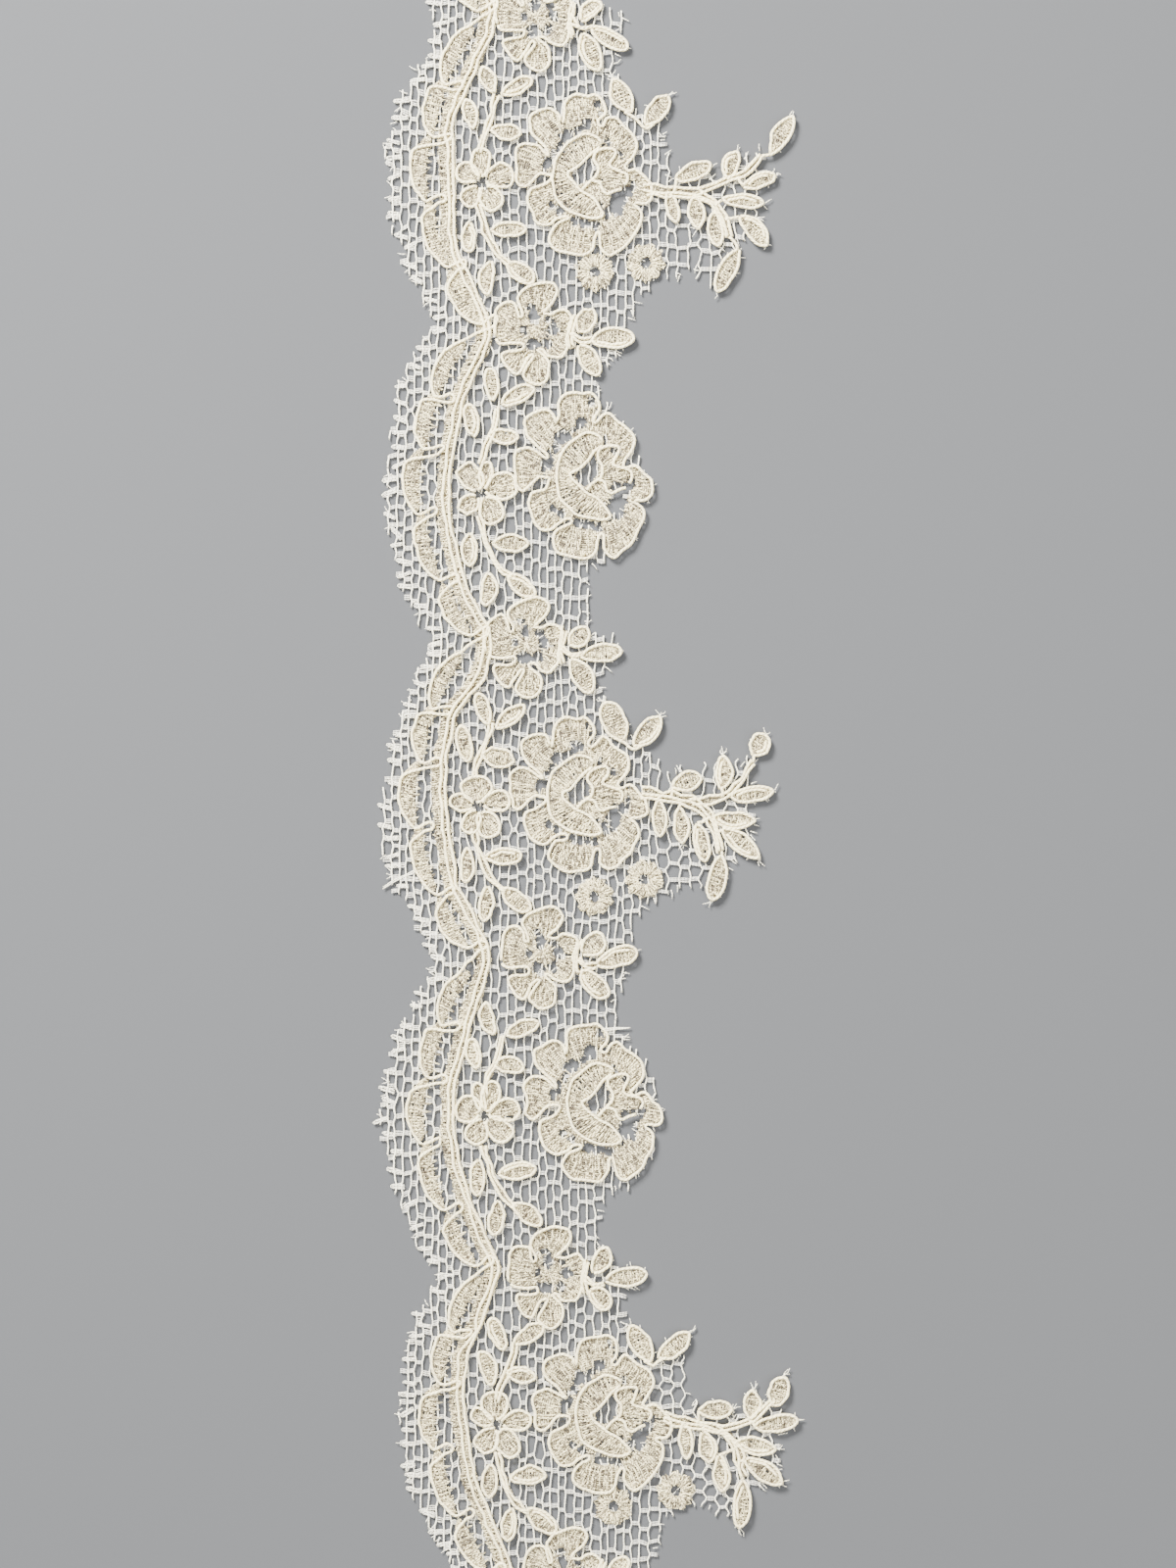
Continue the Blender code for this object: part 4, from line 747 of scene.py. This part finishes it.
def lay_flower(threads, rng, lobes, centre, sizes):
    """Cloth-work of a flower: rings of thread below, and short threads that spread from its middle above."""
    petals = masks()[2]
    own = np.zeros(GRID_SIZE, bool)
    for lobe in lobes:
        fill_grid(own, lobe)
    own &= petals
    reach = float(np.linalg.norm(np.vstack(lobes) - centre, axis=1).max())
    half, pitch = sizes["fill"] / 2, sizes["pitch"]
    for radius in np.arange(pitch, reach, pitch):
        count = max(8, round(2 * math.pi * radius / RING_STEP))
        line = polar(radius + noise(rng, count, 3, 0.05), np.arange(count) * 360 / count, *centre)
        for i0, i1 in runs(hits(own, line)):
            if i1 - i0 > 2:
                z = RIM - UNDER + rng.normal(0, 0.05, i1 - i0)
                threads.add(line[i0:i1], z, half * WEFT, crossing(rng, i1 - i0))
    near = 1
    while near * pitch < reach:
        far = round(near * 1.35 + 1.6 / pitch)
        count = round(2 * math.pi * (0.4 * near + 0.6 * far))
        for k in range(count):
            rows = np.arange(near - rng.integers(0, 2), far + rng.integers(1, 3))
            sway = noise(rng, len(rows), 2, 0.16) + rng.normal(0, 0.1) * (rows - near) * pitch
            angle = 360 * (k + rng.uniform(-0.35, 0.35)) / count
            line = polar(rows * pitch, angle + np.degrees(sway / np.maximum(rows * pitch, 1)), *centre)
            z = RIM + weave(rows + k) + rng.normal(0, 0.05, len(rows))
            tone = shaded_stitch_tones(rng, 0.78 + 0.12 * rows * pitch / reach, len(rows))
            for i0, i1 in runs(hits(own, line + rng.normal(0, 0.1, line.shape))):
                if i1 - i0 > 1:
                    threads.add(line[i0:i1], z[i0:i1], half, tone[i0:i1])
        near = far


def lay_patch(threads, rng, kind, low, high, sizes):
    """Cloth-work of a leaf or a band: threads along it below, and a thread to and fro across it above."""
    length = max(lengths(low)[-1], lengths(high)[-1])
    dome, half = DOMES.get(kind, DOME), sizes["fill"] / 2
    wide = float(np.linalg.norm(at(high, 0.5) - at(low, 0.5)))
    count = max(3, round(length / PATCH_STEP))
    share = np.linspace(0.01, 0.99, count)
    a, b = at(low, share), at(high, share)
    rows = max(2, round(wide / (sizes["pitch"] * 1.1)))
    for v in (np.arange(rows) + 0.5) / rows:
        line = within(a + (b - a) * (v + rng.normal(0, 0.25, (count, 1)) / rows))
        if len(line) > 2:
            z = RIM - UNDER + dome * (1 - (2 * v - 1) ** 2) + rng.normal(0, 0.04, len(line))
            threads.add(line, z, half * WEFT, crossing(rng, len(line)))
    passes = max(3, round(length / sizes["pitch"]))
    passed = []
    for k in range(passes):
        u = np.clip((k + 0.5 + rng.uniform(-0.3, 0.3)) / passes, 0, 1)
        a, b = at(low, u), at(high, np.clip(u + (0.5 + rng.normal(0, 0.5)) / passes, 0, 1))
        lo, hi = rng.uniform(0.04, 0.12), rng.uniform(0.88, 0.96)
        if kind == "crescent":
            lo, hi = rng.uniform(-0.12, 0.08), 0.97
            if k % 4 == 0:
                lo = -rng.uniform(0.15, 0.55)
        elif kind == "ring":
            lo, hi = rng.uniform(-0.02, 0.14), rng.uniform(0.86, 1.12)
        elif kind == "band":
            lo, hi = rng.uniform(-0.08, 0.1), 1.0
        places = (np.arange(rows) + 0.5) / rows
        v = np.concatenate([[lo], places[(places > lo + 0.04) & (places < hi - 0.04)], [hi]])
        count = len(v)
        xy = a + (b - a) * v[:, None] + rng.normal(0, 0.1, (count, 2))
        lift = dome * (1 - (2 * np.clip(v, 0, 1) - 1) ** 2)
        z = RIM + lift + weave(np.arange(count) + k) + rng.normal(0, 0.05, count)
        tone = shaded_stitch_tones(rng, TONES.get(kind, TONE), count)
        way = -1 if k % 2 else 1
        passed.append(np.column_stack([xy, z, tone])[::way])
    passed = within(np.vstack(passed))
    if len(passed) > 2:
        threads.add(passed[:, :2], passed[:, 2], half, passed[:, 3])


# ---------------------------------------------------------------- net

NET_STEP = 0.75         # between two points of a lengthwise thread
NET_SIDES = (-54.0, 52.0)
SCALLOPS, SPRIG_NET = -30, 16   # left of the first and right of the second the net has gauges of its own
GAUGES = (1.85, 2.0, 2.6)       # between two lengthwise threads: left, middle and right
DRIFT, DRIFT_WAVE = 3.0, 190.0  # how far the lengthwise threads lean, over what length
# how far apart the bars are: farther left of the band than the first number, farther than the next, and so on
BAR_GAPS = ((8, 4.1), (2, 5.0))
MIDDLE_BARS, SPRIG_BARS = 4.5, 4.2
OUTER = 3.5                     # the net farther left of the band than this is of thicker thread
PILLAR_Z, BAR_Z = 0.42, (0.34, 0.38, 0.34)
PULLS, PULL_REACH = (0.12, 0.2), 0.9    # share of the gap that a bar draws in on the left and right, how far
BAR_THREADS = ((0.16, 0.4), (0.17, 0.5))        # radius and tone of a bar's thread, inner and outer
THINNEST, THICKEST = 0.14, 0.34
CLOTH_LAP = 3                   # how many cells the net reaches in under the cloth-work


def bar_gap(left, x):
    """How far apart two bars of the net are, at a distance left of the band and at an x."""
    for reach, gap in BAR_GAPS:
        if left > reach:
            return gap
    return MIDDLE_BARS if x < SPRIG_NET else SPRIG_BARS


def net_threads(threads, fine, ends, rng, sizes):
    """Lengthwise threads, the finer bars that draw them together and the ends; returns the net's area."""
    net, cloth, _, eyes = masks()
    open_net = net & ~grown(cloth, -CLOTH_LAP)
    barred = open_net & ~eyes
    ys = np.arange(Y_END, Y_TOP + 0.1, NET_STEP)
    drift = DRIFT * np.sin(ys / DRIFT_WAVE)
    columns, x = [], NET_SIDES[0]
    while x < NET_SIDES[1]:
        columns.append(x)
        x += GAUGES[(x >= SCALLOPS) + (x >= SPRIG_NET)] * rng.uniform(0.9, 1.1)
    lines = [x + drift + noise(rng, len(ys), 6, 0.17) + noise(rng, len(ys), 2, 0.07) for x in columns]
    crest = np.array([band_x(y) for y in ys])
    bars = []
    for k in range(len(columns) - 1):
        x0, gap = columns[k], columns[k + 1] - columns[k]
        y = Y_END + (0.3 if k % 2 else 2.3) + rng.uniform(-0.3, 0.3)
        while y < Y_TOP - 0.5:
            row = min(len(ys) - 1, round((y - Y_END) / NET_STEP))
            left = crest[row] - x0 - drift[row]
            bars.append((k, y, left > OUTER))
            pull = PULLS[x0 >= SPRIG_NET] * gap * np.exp(-((ys - y) / PULL_REACH) ** 2)
            lines[k] += pull
            lines[k + 1] -= pull
            y += bar_gap(left, x0) * rng.uniform(0.72, 1.28)
    for k, xs in enumerate(lines):
        line = np.stack([xs, ys], 1)
        for i0, i1 in runs(hits(open_net, line)):
            i0, i1 = max(0, i0 - rng.integers(1, 3)), min(len(ys), i1 + rng.integers(1, 3))
            if i1 - i0 < 3:
                continue
            part = line[i0:i1]
            outer = xs[i0] < crest[i0] - OUTER
            z = PILLAR_Z + rng.normal(0, 0.05, len(part))
            size = sizes["pillar"] / 2 * (1.1 if outer else 1.0) * (1 + 0.13 * rng.normal(0, 1, len(part)))
            tone = 0.85 + rng.normal(0, 0.06, len(part))
            threads.add(part, z, np.clip(size, THINNEST, THICKEST), tone)
    for k, y, outer in bars:
        row = min(len(ys) - 2, int((y - Y_END) / NET_STEP))
        a, b = lines[k][row], lines[k + 1][row]
        if not hits(barred, [((a + b) / 2, y)])[0]:
            continue
        tall = sizes["bar"] * rng.uniform(0.75, 1.15) * (1.15 if outer else 1.0)
        slope = rng.normal(0, 0.15)
        for j in range(3):
            dy = tall * (j - 1) / 2
            bow = rng.normal(0, 0.06)
            line = [(a, y + dy * 0.9 - slope), ((a + b) / 2, y + dy + bow), (b, y + dy * 0.9 + slope)]
            radius, tone = BAR_THREADS[int(outer)]
            fine.add(line, BAR_Z, radius, tone + rng.normal(0, 0.08))
    edge_loops(ends, rng, lines, net)
    edge_ends(ends, rng, net | cloth)
    tufts(ends, rng)
    return float((net & ~cloth).sum()) * GRID * GRID


END_RADIUS = 0.17       # half the thickness of a cut end
ENDS, NEAR = 620, 6     # how many stick out, and how many cells round one say which way


def edge_loops(threads, rng, lines, net):
    """Blunt loops of thread at the ends of bars along the scalloped edge."""
    y = Y_END + 1.5
    while y < Y_TOP - 1:
        row = round((y - Y_END) / NET_STEP)
        inside = [xs[row] for xs in lines if hits(net, [(xs[row], y)])[0]]
        if inside:
            x, out, high = min(inside), rng.uniform(0.9, 2.1), rng.uniform(0.26, 0.42)
            turn = rng.normal(0, 14)
            for shrink in (1.0, 0.45):
                tall = high * shrink
                tip = out - 0.45 * (1 - shrink)
                half = [(1.9, tall), (0.2, tall), (-0.5 * tip, tall + 0.05), (-0.93 * tip, 0.7 * tall)]
                loop = half + [(-tip, 0.0)] + [(u, -v) for u, v in half[::-1]]
                line = wander(smooth(place(loop, x, y, turn), 0.4), rng, 0.05, 2)
                z = 0.45 + rng.normal(0, 0.06, len(line))
                threads.add(line, z, END_RADIUS, 0.72 + rng.normal(0, 0.08, len(line)))
        y += rng.uniform(2.2, 5.6)


def edge_ends(threads, rng, net):
    """Cut ends of thread that stick out all round the lace."""
    rim = np.argwhere(net & ~grown(net, -1))
    for cell in rim[rng.permutation(len(rim))[:ENDS]]:
        p = GRID_LOW + (cell + 0.5) * GRID
        if not Y_END + 1 < p[1] < Y_TOP - 1:
            continue
        near = net[cell[0] - NEAR:cell[0] + NEAR + 1, cell[1] - NEAR:cell[1] + NEAR + 1]
        away = -(np.argwhere(near).mean(0) - NEAR)
        away /= np.linalg.norm(away) + 1e-9
        way = math.degrees(math.atan2(away[1], away[0])) + rng.normal(0, 28)
        t = np.linspace(-0.7, rng.uniform(0.4, 1.5), 5)
        line = wander(polar(t, way, *p), rng, 0.08, 2)
        z = 0.4 + rng.normal(0, 0.08, len(t))
        threads.add(line, z, np.linspace(END_RADIUS, 0.1, len(t)), 0.75)


def tufts(threads, rng):
    """Frayed threads at the tips of the leaves that stand out, and the loose threads of the edge."""
    for n in SPRIGS:
        for x, y, length, _, angle in SPRIGS[n] + BUDS[n]:
            tip = polar(length / 2 - 0.3, angle, x, y)
            for _ in range(rng.integers(1, 5)):
                count = rng.integers(4, 8)
                along = np.linspace(0, 0.32 * count, count)
                line = wander(polar(along, angle + rng.normal(0, 38), *tip), rng, 0.2, 2)
                z = 0.6 + rng.normal(0, 0.1, count)
                threads.add(line, z, np.linspace(END_RADIUS, 0.09, count), 0.8)
    for points in STRAYS:
        for side in (-0.16, 0.16):
            line = wander(smooth(points, 0.6) + (0, side), rng, 0.1, 3)
            z = 0.5 + rng.normal(0, 0.05, len(line))
            threads.add(line, z, np.linspace(0.2, 0.14, len(line)), 0.85)


# ---------------------------------------------------------------- materials

def node(tree, kind, x, y, *inputs, **values):
    """A shader node at a place, with sockets or values for its inputs, its settings and named inputs."""
    made = tree.nodes.new("ShaderNode" + kind)
    made.location = (x, y)
    for key, value in values.items():
        if key in made.bl_rna.properties:
            setattr(made, key, value)
        elif isinstance(value, bpy.types.NodeSocket):
            tree.links.new(value, made.inputs[key])
        else:
            made.inputs[key].default_value = value
    for socket, value in zip(made.inputs, inputs):
        if isinstance(value, bpy.types.NodeSocket):
            tree.links.new(value, socket)
        else:
            socket.default_value = value
    return made


def group(name, inputs, outputs):
    """An empty node group with its named sockets, or the one that is there."""
    if name in bpy.data.node_groups:
        return bpy.data.node_groups[name], None, None
    tree = bpy.data.node_groups.new(name, "ShaderNodeTree")
    new_socket = tree.interface.new_socket
    for label, kind, value in inputs:
        new_socket(label, in_out="INPUT", socket_type="NodeSocket" + kind).default_value = value
    for label, kind in outputs:
        new_socket(label, in_out="OUTPUT", socket_type="NodeSocket" + kind)
    ins, outs = tree.nodes.new("NodeGroupInput"), tree.nodes.new("NodeGroupOutput")
    ins.location, outs.location = (-900, 0), (600, 0)
    return tree, ins, outs


def tone_group():
    """Colour of a thread from its tone, mottled from place to place; on the cloth-work, low tones are painted
    shade.
    """
    tree, ins, outs = group(
        "Thread tone",
        (("Light", "Color", (1, 1, 1, 1)), ("Dark", "Color", (0, 0, 0, 1)), ("Mottle", "Float", 0.3),
         ("Scale", "Float", 900.0)),
        (("Color", "Color"), ("Mask", "Float")))
    if ins is None:
        return tree
    tone = node(tree, "Attribute", -700, 200, attribute_name="tone")
    spot = node(tree, "TexCoord", -900, -200)
    cloud = node(tree, "TexNoise", -700, -200, Vector=spot.outputs["Object"], Scale=ins.outputs["Scale"],
                 Detail=3.0)
    centre = node(tree, "Math", -500, -200, cloud.outputs["Fac"], 0.5, operation="SUBTRACT")
    amount = node(tree, "Math", -320, -100, centre.outputs[0], ins.outputs["Mottle"], tone.outputs["Fac"],
                  operation="MULTIPLY_ADD", use_clamp=True)
    mix = node(tree, "Mix", -100, 100, data_type="RGBA")
    link = tree.links.new
    link(amount.outputs[0], mix.inputs["Factor"])
    link(ins.outputs["Dark"], mix.inputs["A"])
    link(ins.outputs["Light"], mix.inputs["B"])
    link(mix.outputs["Result"], outs.inputs["Color"])
    link(amount.outputs[0], outs.inputs["Mask"])
    return tree


def twist_group():
    """Height of the strands laid round a thread."""
    tree, ins, outs = group("Thread twist", (("Lay", "Float", 0.9), ("Strands", "Float", 3.0)),
                            (("Height", "Float"),))
    if ins is None:
        return tree
    uv = node(tree, "UVMap", -900, 200, uv_map="thread")
    parts = node(tree, "SeparateXYZ", -700, 200, uv.outputs["UV"])
    along = node(tree, "Math", -500, 200, parts.outputs["X"], ins.outputs["Lay"], operation="DIVIDE")
    turns = node(tree, "Math", -300, 200, parts.outputs["Y"], ins.outputs["Strands"], along.outputs[0],
                 operation="MULTIPLY_ADD")
    angle = node(tree, "Math", -100, 200, turns.outputs[0], 2 * math.pi, operation="MULTIPLY")
    wave = node(tree, "Math", 80, 200, angle.outputs[0], operation="SINE")
    tree.links.new(wave.outputs[0], outs.inputs["Height"])
    return tree


def thread_material(name, light, dark, mottle, scale, lay, strands, depth, roughness, sheen):
    """Spun thread: its two tones, how mottled it is, the lay of its strands and their depth, its shine."""
    mat = bpy.data.materials.new(name)
    mat.use_nodes = True
    tree = mat.node_tree
    shader = tree.nodes["Principled BSDF"]
    shader.inputs["Roughness"].default_value = roughness
    shader.inputs["Sheen Weight"].default_value = sheen
    shader.inputs["Sheen Roughness"].default_value = 0.5
    shader.inputs["Specular IOR Level"].default_value = 0.3
    tone = node(tree, "Group", -500, 200, node_tree=tone_group())
    twist = node(tree, "Group", -500, -200, node_tree=twist_group())
    for made, values in ((tone, {"Light": light, "Dark": dark, "Mottle": mottle, "Scale": scale}),
                         (twist, {"Lay": lay, "Strands": strands})):
        for label, value in values.items():
            made.inputs[label].default_value = value
    bump = node(tree, "Bump", -250, -200, Strength=1.0, Distance=depth, Height=twist.outputs["Height"])
    tree.links.new(tone.outputs["Color"], shader.inputs["Base Color"])
    tree.links.new(bump.outputs["Normal"], shader.inputs["Normal"])
    return mat


# ---------------------------------------------------------------- settings

def size_prop(name, text, value):
    """A setting that is a length."""
    return bpy.props.FloatProperty(name=name, description=text, default=value, min=0.0, unit="LENGTH",
                                   precision=5)


def colour_prop(name, text, value):
    """A setting that is a colour."""
    return bpy.props.FloatVectorProperty(name=name, description=text, default=value, size=4, subtype="COLOR",
                                         min=0.0, max=1.0)


class LaceSizes(bpy.types.PropertyGroup):
    """Thicknesses of the threads."""
    cord: size_prop("Cord", "Thickness of the outline cord", 0.0007)
    pillar: size_prop("Pillar", "Thickness of the lengthwise net thread", 0.00042)
    bar: size_prop("Bar", "Height of a bar of the net", 0.00075)
    fill: size_prop("Fill", "Thickness of the cloth-work thread", 0.00036)
    pitch: size_prop("Pitch", "Distance between two passes of the cloth-work thread", 0.00052)
    cord_height: size_prop("Cord height", "Height of the cord's middle above the floor", 0.00125)


class LaceColours(bpy.types.PropertyGroup):
    """Colours of the threads and the floor."""
    cord_light: colour_prop("Cord", "Outline cord", (0.97, 0.86, 0.50, 1.0))
    cord_dark: colour_prop("Cord shade", "Outline cord between its strands", (0.46, 0.34, 0.16, 1.0))
    fill_light: colour_prop("Cloth-work", "Cloth-work thread", (0.96, 0.83, 0.46, 1.0))
    # the cloth-work's dark colour is painted shade, mixed in by low tones on the threads below and on the
    # deep stitches
    fill_dark: colour_prop("Cloth-work shade", "Cloth-work below its threads", (0.06, 0.04, 0.02, 1.0))
    net_light: colour_prop("Net", "Net thread", (0.93, 0.87, 0.66, 1.0))
    net_dark: colour_prop("Net bars", "Finer bars of the net", (0.36, 0.36, 0.37, 1.0))
    floor: colour_prop("Floor", "Floor under the lace", (0.057, 0.0585, 0.0605, 1.0))


def in_mm():
    """The sizes of the threads in millimetres."""
    sizes = bpy.context.scene.lace_sizes
    return {key: getattr(sizes, key) / MM for key in LaceSizes.__annotations__}


def shade(name):
    """One of the colours."""
    return tuple(getattr(bpy.context.scene.lace_colours, name))


# mottle and its scale, length of a turn of the strands, how many, their depth, roughness, sheen
THREADS = (
    ("cord", "Cord thread", (0.5, 700.0, 1.1, 3.0, 0.00006, 0.62, 0.25)),
    ("fill", "Cloth-work thread", (0.9, 1500.0, 0.6, 2.0, 0.00003, 0.5, 0.2)),
    ("net", "Net thread", (0.4, 900.0, 0.7, 2.0, 0.00004, 0.66, 0.2)),
)


@lru_cache(maxsize=None)
def materials():
    """The three kinds of thread."""
    return {
        kind: thread_material(name, shade(kind + "_light"), shade(kind + "_dark"), *values)
        for kind, name, values in THREADS
    }


# ---------------------------------------------------------------- pieces

FLOOR_SIZE, FLOOR_Z = 4.0, -0.0002
SENSOR = 36.0
# name, place, size and power of each light
LIGHTS = (
    ("key", (-0.55, 0.8, 0.8), 0.4, 118.0),
    ("fill", (0.8, -0.5, 1.0), 0.9, 22.0),
    ("top", (0.0, 0.0, 1.6), 1.2, 46.0),
)

CLOTH_PARTS = (
    ("lace_border_work", ("crescent", "band")),
    ("lace_rose_work", ("rose", "heart")),
    ("lace_flower_work", ("valley", "floret", "ring")),
    ("lace_leaf_work", ("leaf", "stem")),
)


def cord_piece(name, lines, seed):
    """The outline cords of one node, laid along their lines."""
    rng = np.random.default_rng(seed)
    sizes = in_mm()
    threads = Threads(6)
    for line in lines:
        line = wander(line, rng, 0.12, 3)
        z = sizes["cord_height"] + noise(rng, len(line), 5, 0.05)
        size = sizes["cord"] / 2 * (1 + noise(rng, len(line), 2, 0.06))
        threads.add(line, z, size, 0.84 + noise(rng, len(line), 3, 0.08))
    threads.make(name.replace("cord", "thread"), materials()["cord"], name, "outline_cord")


class LACE_OT_net(bpy.types.Operator):
    """Net ground: lengthwise threads and bars, with the loops of the scalloped edge"""
    bl_idname = "lace.net"
    bl_label = "Net ground"

    def execute(self, context):
        threads, fine, ends = Threads(4), Threads(3), Threads(3)
        area = net_threads(threads, fine, ends, np.random.default_rng(SEED + 1), in_mm())
        threads.take(fine)
        ends.make("lace_net_ends", materials()["net"], "lace_ground", "lace_ground")
        obj = threads.make("lace_net", materials()["net"], "lace_ground", "lace_ground")
        return {"FINISHED"}


class LACE_OT_cloth_work(bpy.types.Operator):
    """Cloth-work of the border, the flowers and the leaves"""
    bl_idname = "lace.cloth_work"
    bl_label = "Cloth-work"

    def execute(self, context):
        for seed, (name, kinds) in enumerate(CLOTH_PARTS):
            rng = np.random.default_rng(SEED + 10 + seed)
            threads = Threads(3)
            for kind, _, low, high in chart()[0]:
                if kind in kinds and min(len(low), len(high)) > 3:
                    lay_patch(threads, rng, kind, low, high, in_mm())
            for kind, lobes, _, centre in chart()[1]:
                if kind in kinds:
                    lay_flower(threads, rng, lobes, centre, in_mm())
            threads.make(name, materials()["fill"], "lace_ground", "lace_ground")
        return {"FINISHED"}


class LACE_OT_cords(bpy.types.Operator):
    """Outline cords sewn round the cloth-work"""
    bl_idname = "lace.cords"
    bl_label = "Outline cords"

    def execute(self, context):
        for seed, (name, lines) in enumerate(chart()[2].items()):
            cord_piece(name, lines, SEED + 100 + seed)
        return {"FINISHED"}


class LACE_OT_stage(bpy.types.Operator):
    """Pale floor, soft light and the camera above the lace"""
    bl_idname = "lace.stage"
    bl_label = "Stage"

    def execute(self, context):
        bpy.ops.mesh.primitive_plane_add(size=FLOOR_SIZE, location=(0, 0, FLOOR_Z))
        floor = context.object
        floor.name = "floor"
        mat = bpy.data.materials.new("Floor paper")
        mat.use_nodes = True
        shader = mat.node_tree.nodes["Principled BSDF"]
        shader.inputs["Base Color"].default_value = shade("floor")
        shader.inputs["Roughness"].default_value = 0.9
        floor.data.materials.append(mat)
        for name, place_at, size, power in LIGHTS:
            bpy.ops.object.light_add(type="AREA", location=place_at)
            light = context.object
            light.name = name
            light.data.size = size
            light.data.energy = power
            aim = -light.location
            light.rotation_euler = aim.to_track_quat("-Z", "Y").to_euler()
        x, y = -ORIGIN[0] * MM, -ORIGIN[1] * MM
        bpy.ops.object.camera_add(location=(x, y, VIEW_HEIGHT * MM), rotation=(0, 0, 0))
        camera = context.object
        camera.data.sensor_fit = "VERTICAL"
        camera.data.sensor_height = SENSOR
        camera.data.lens = SENSOR * VIEW_HEIGHT / VIEW_LENGTH
        camera.data.clip_end = 20.0
        context.scene.camera = camera
        return {"FINISHED"}


class LACE_PT_panel(bpy.types.Panel):
    """Lace settings and pieces"""
    bl_label = "Corded lace edging"
    bl_idname = "LACE_PT_panel"
    bl_space_type = "VIEW_3D"
    bl_region_type = "UI"
    bl_category = "Lace"

    def draw(self, context):
        for settings in (context.scene.lace_sizes, context.scene.lace_colours):
            box = self.layout.box()
            for key in type(settings).__annotations__:
                box.prop(settings, key)
        for operator in OPERATORS:
            self.layout.operator(operator.bl_idname)


OPERATORS = (LACE_OT_stage, LACE_OT_net, LACE_OT_cloth_work, LACE_OT_cords)
CLASSES = (LaceSizes, LaceColours) + OPERATORS + (LACE_PT_panel,)


def register():
    for cls in CLASSES:
        bpy.utils.register_class(cls)
    bpy.types.Scene.lace_sizes = bpy.props.PointerProperty(type=LaceSizes)
    bpy.types.Scene.lace_colours = bpy.props.PointerProperty(type=LaceColours)


def unregister():
    del bpy.types.Scene.lace_colours
    del bpy.types.Scene.lace_sizes
    for cls in reversed(CLASSES):
        bpy.utils.unregister_class(cls)


def main():
    register()
    bpy.ops.lace.stage()
    bpy.ops.lace.net()
    bpy.ops.lace.cloth_work()
    bpy.ops.lace.cords()


if __name__ == "__main__":
    main()
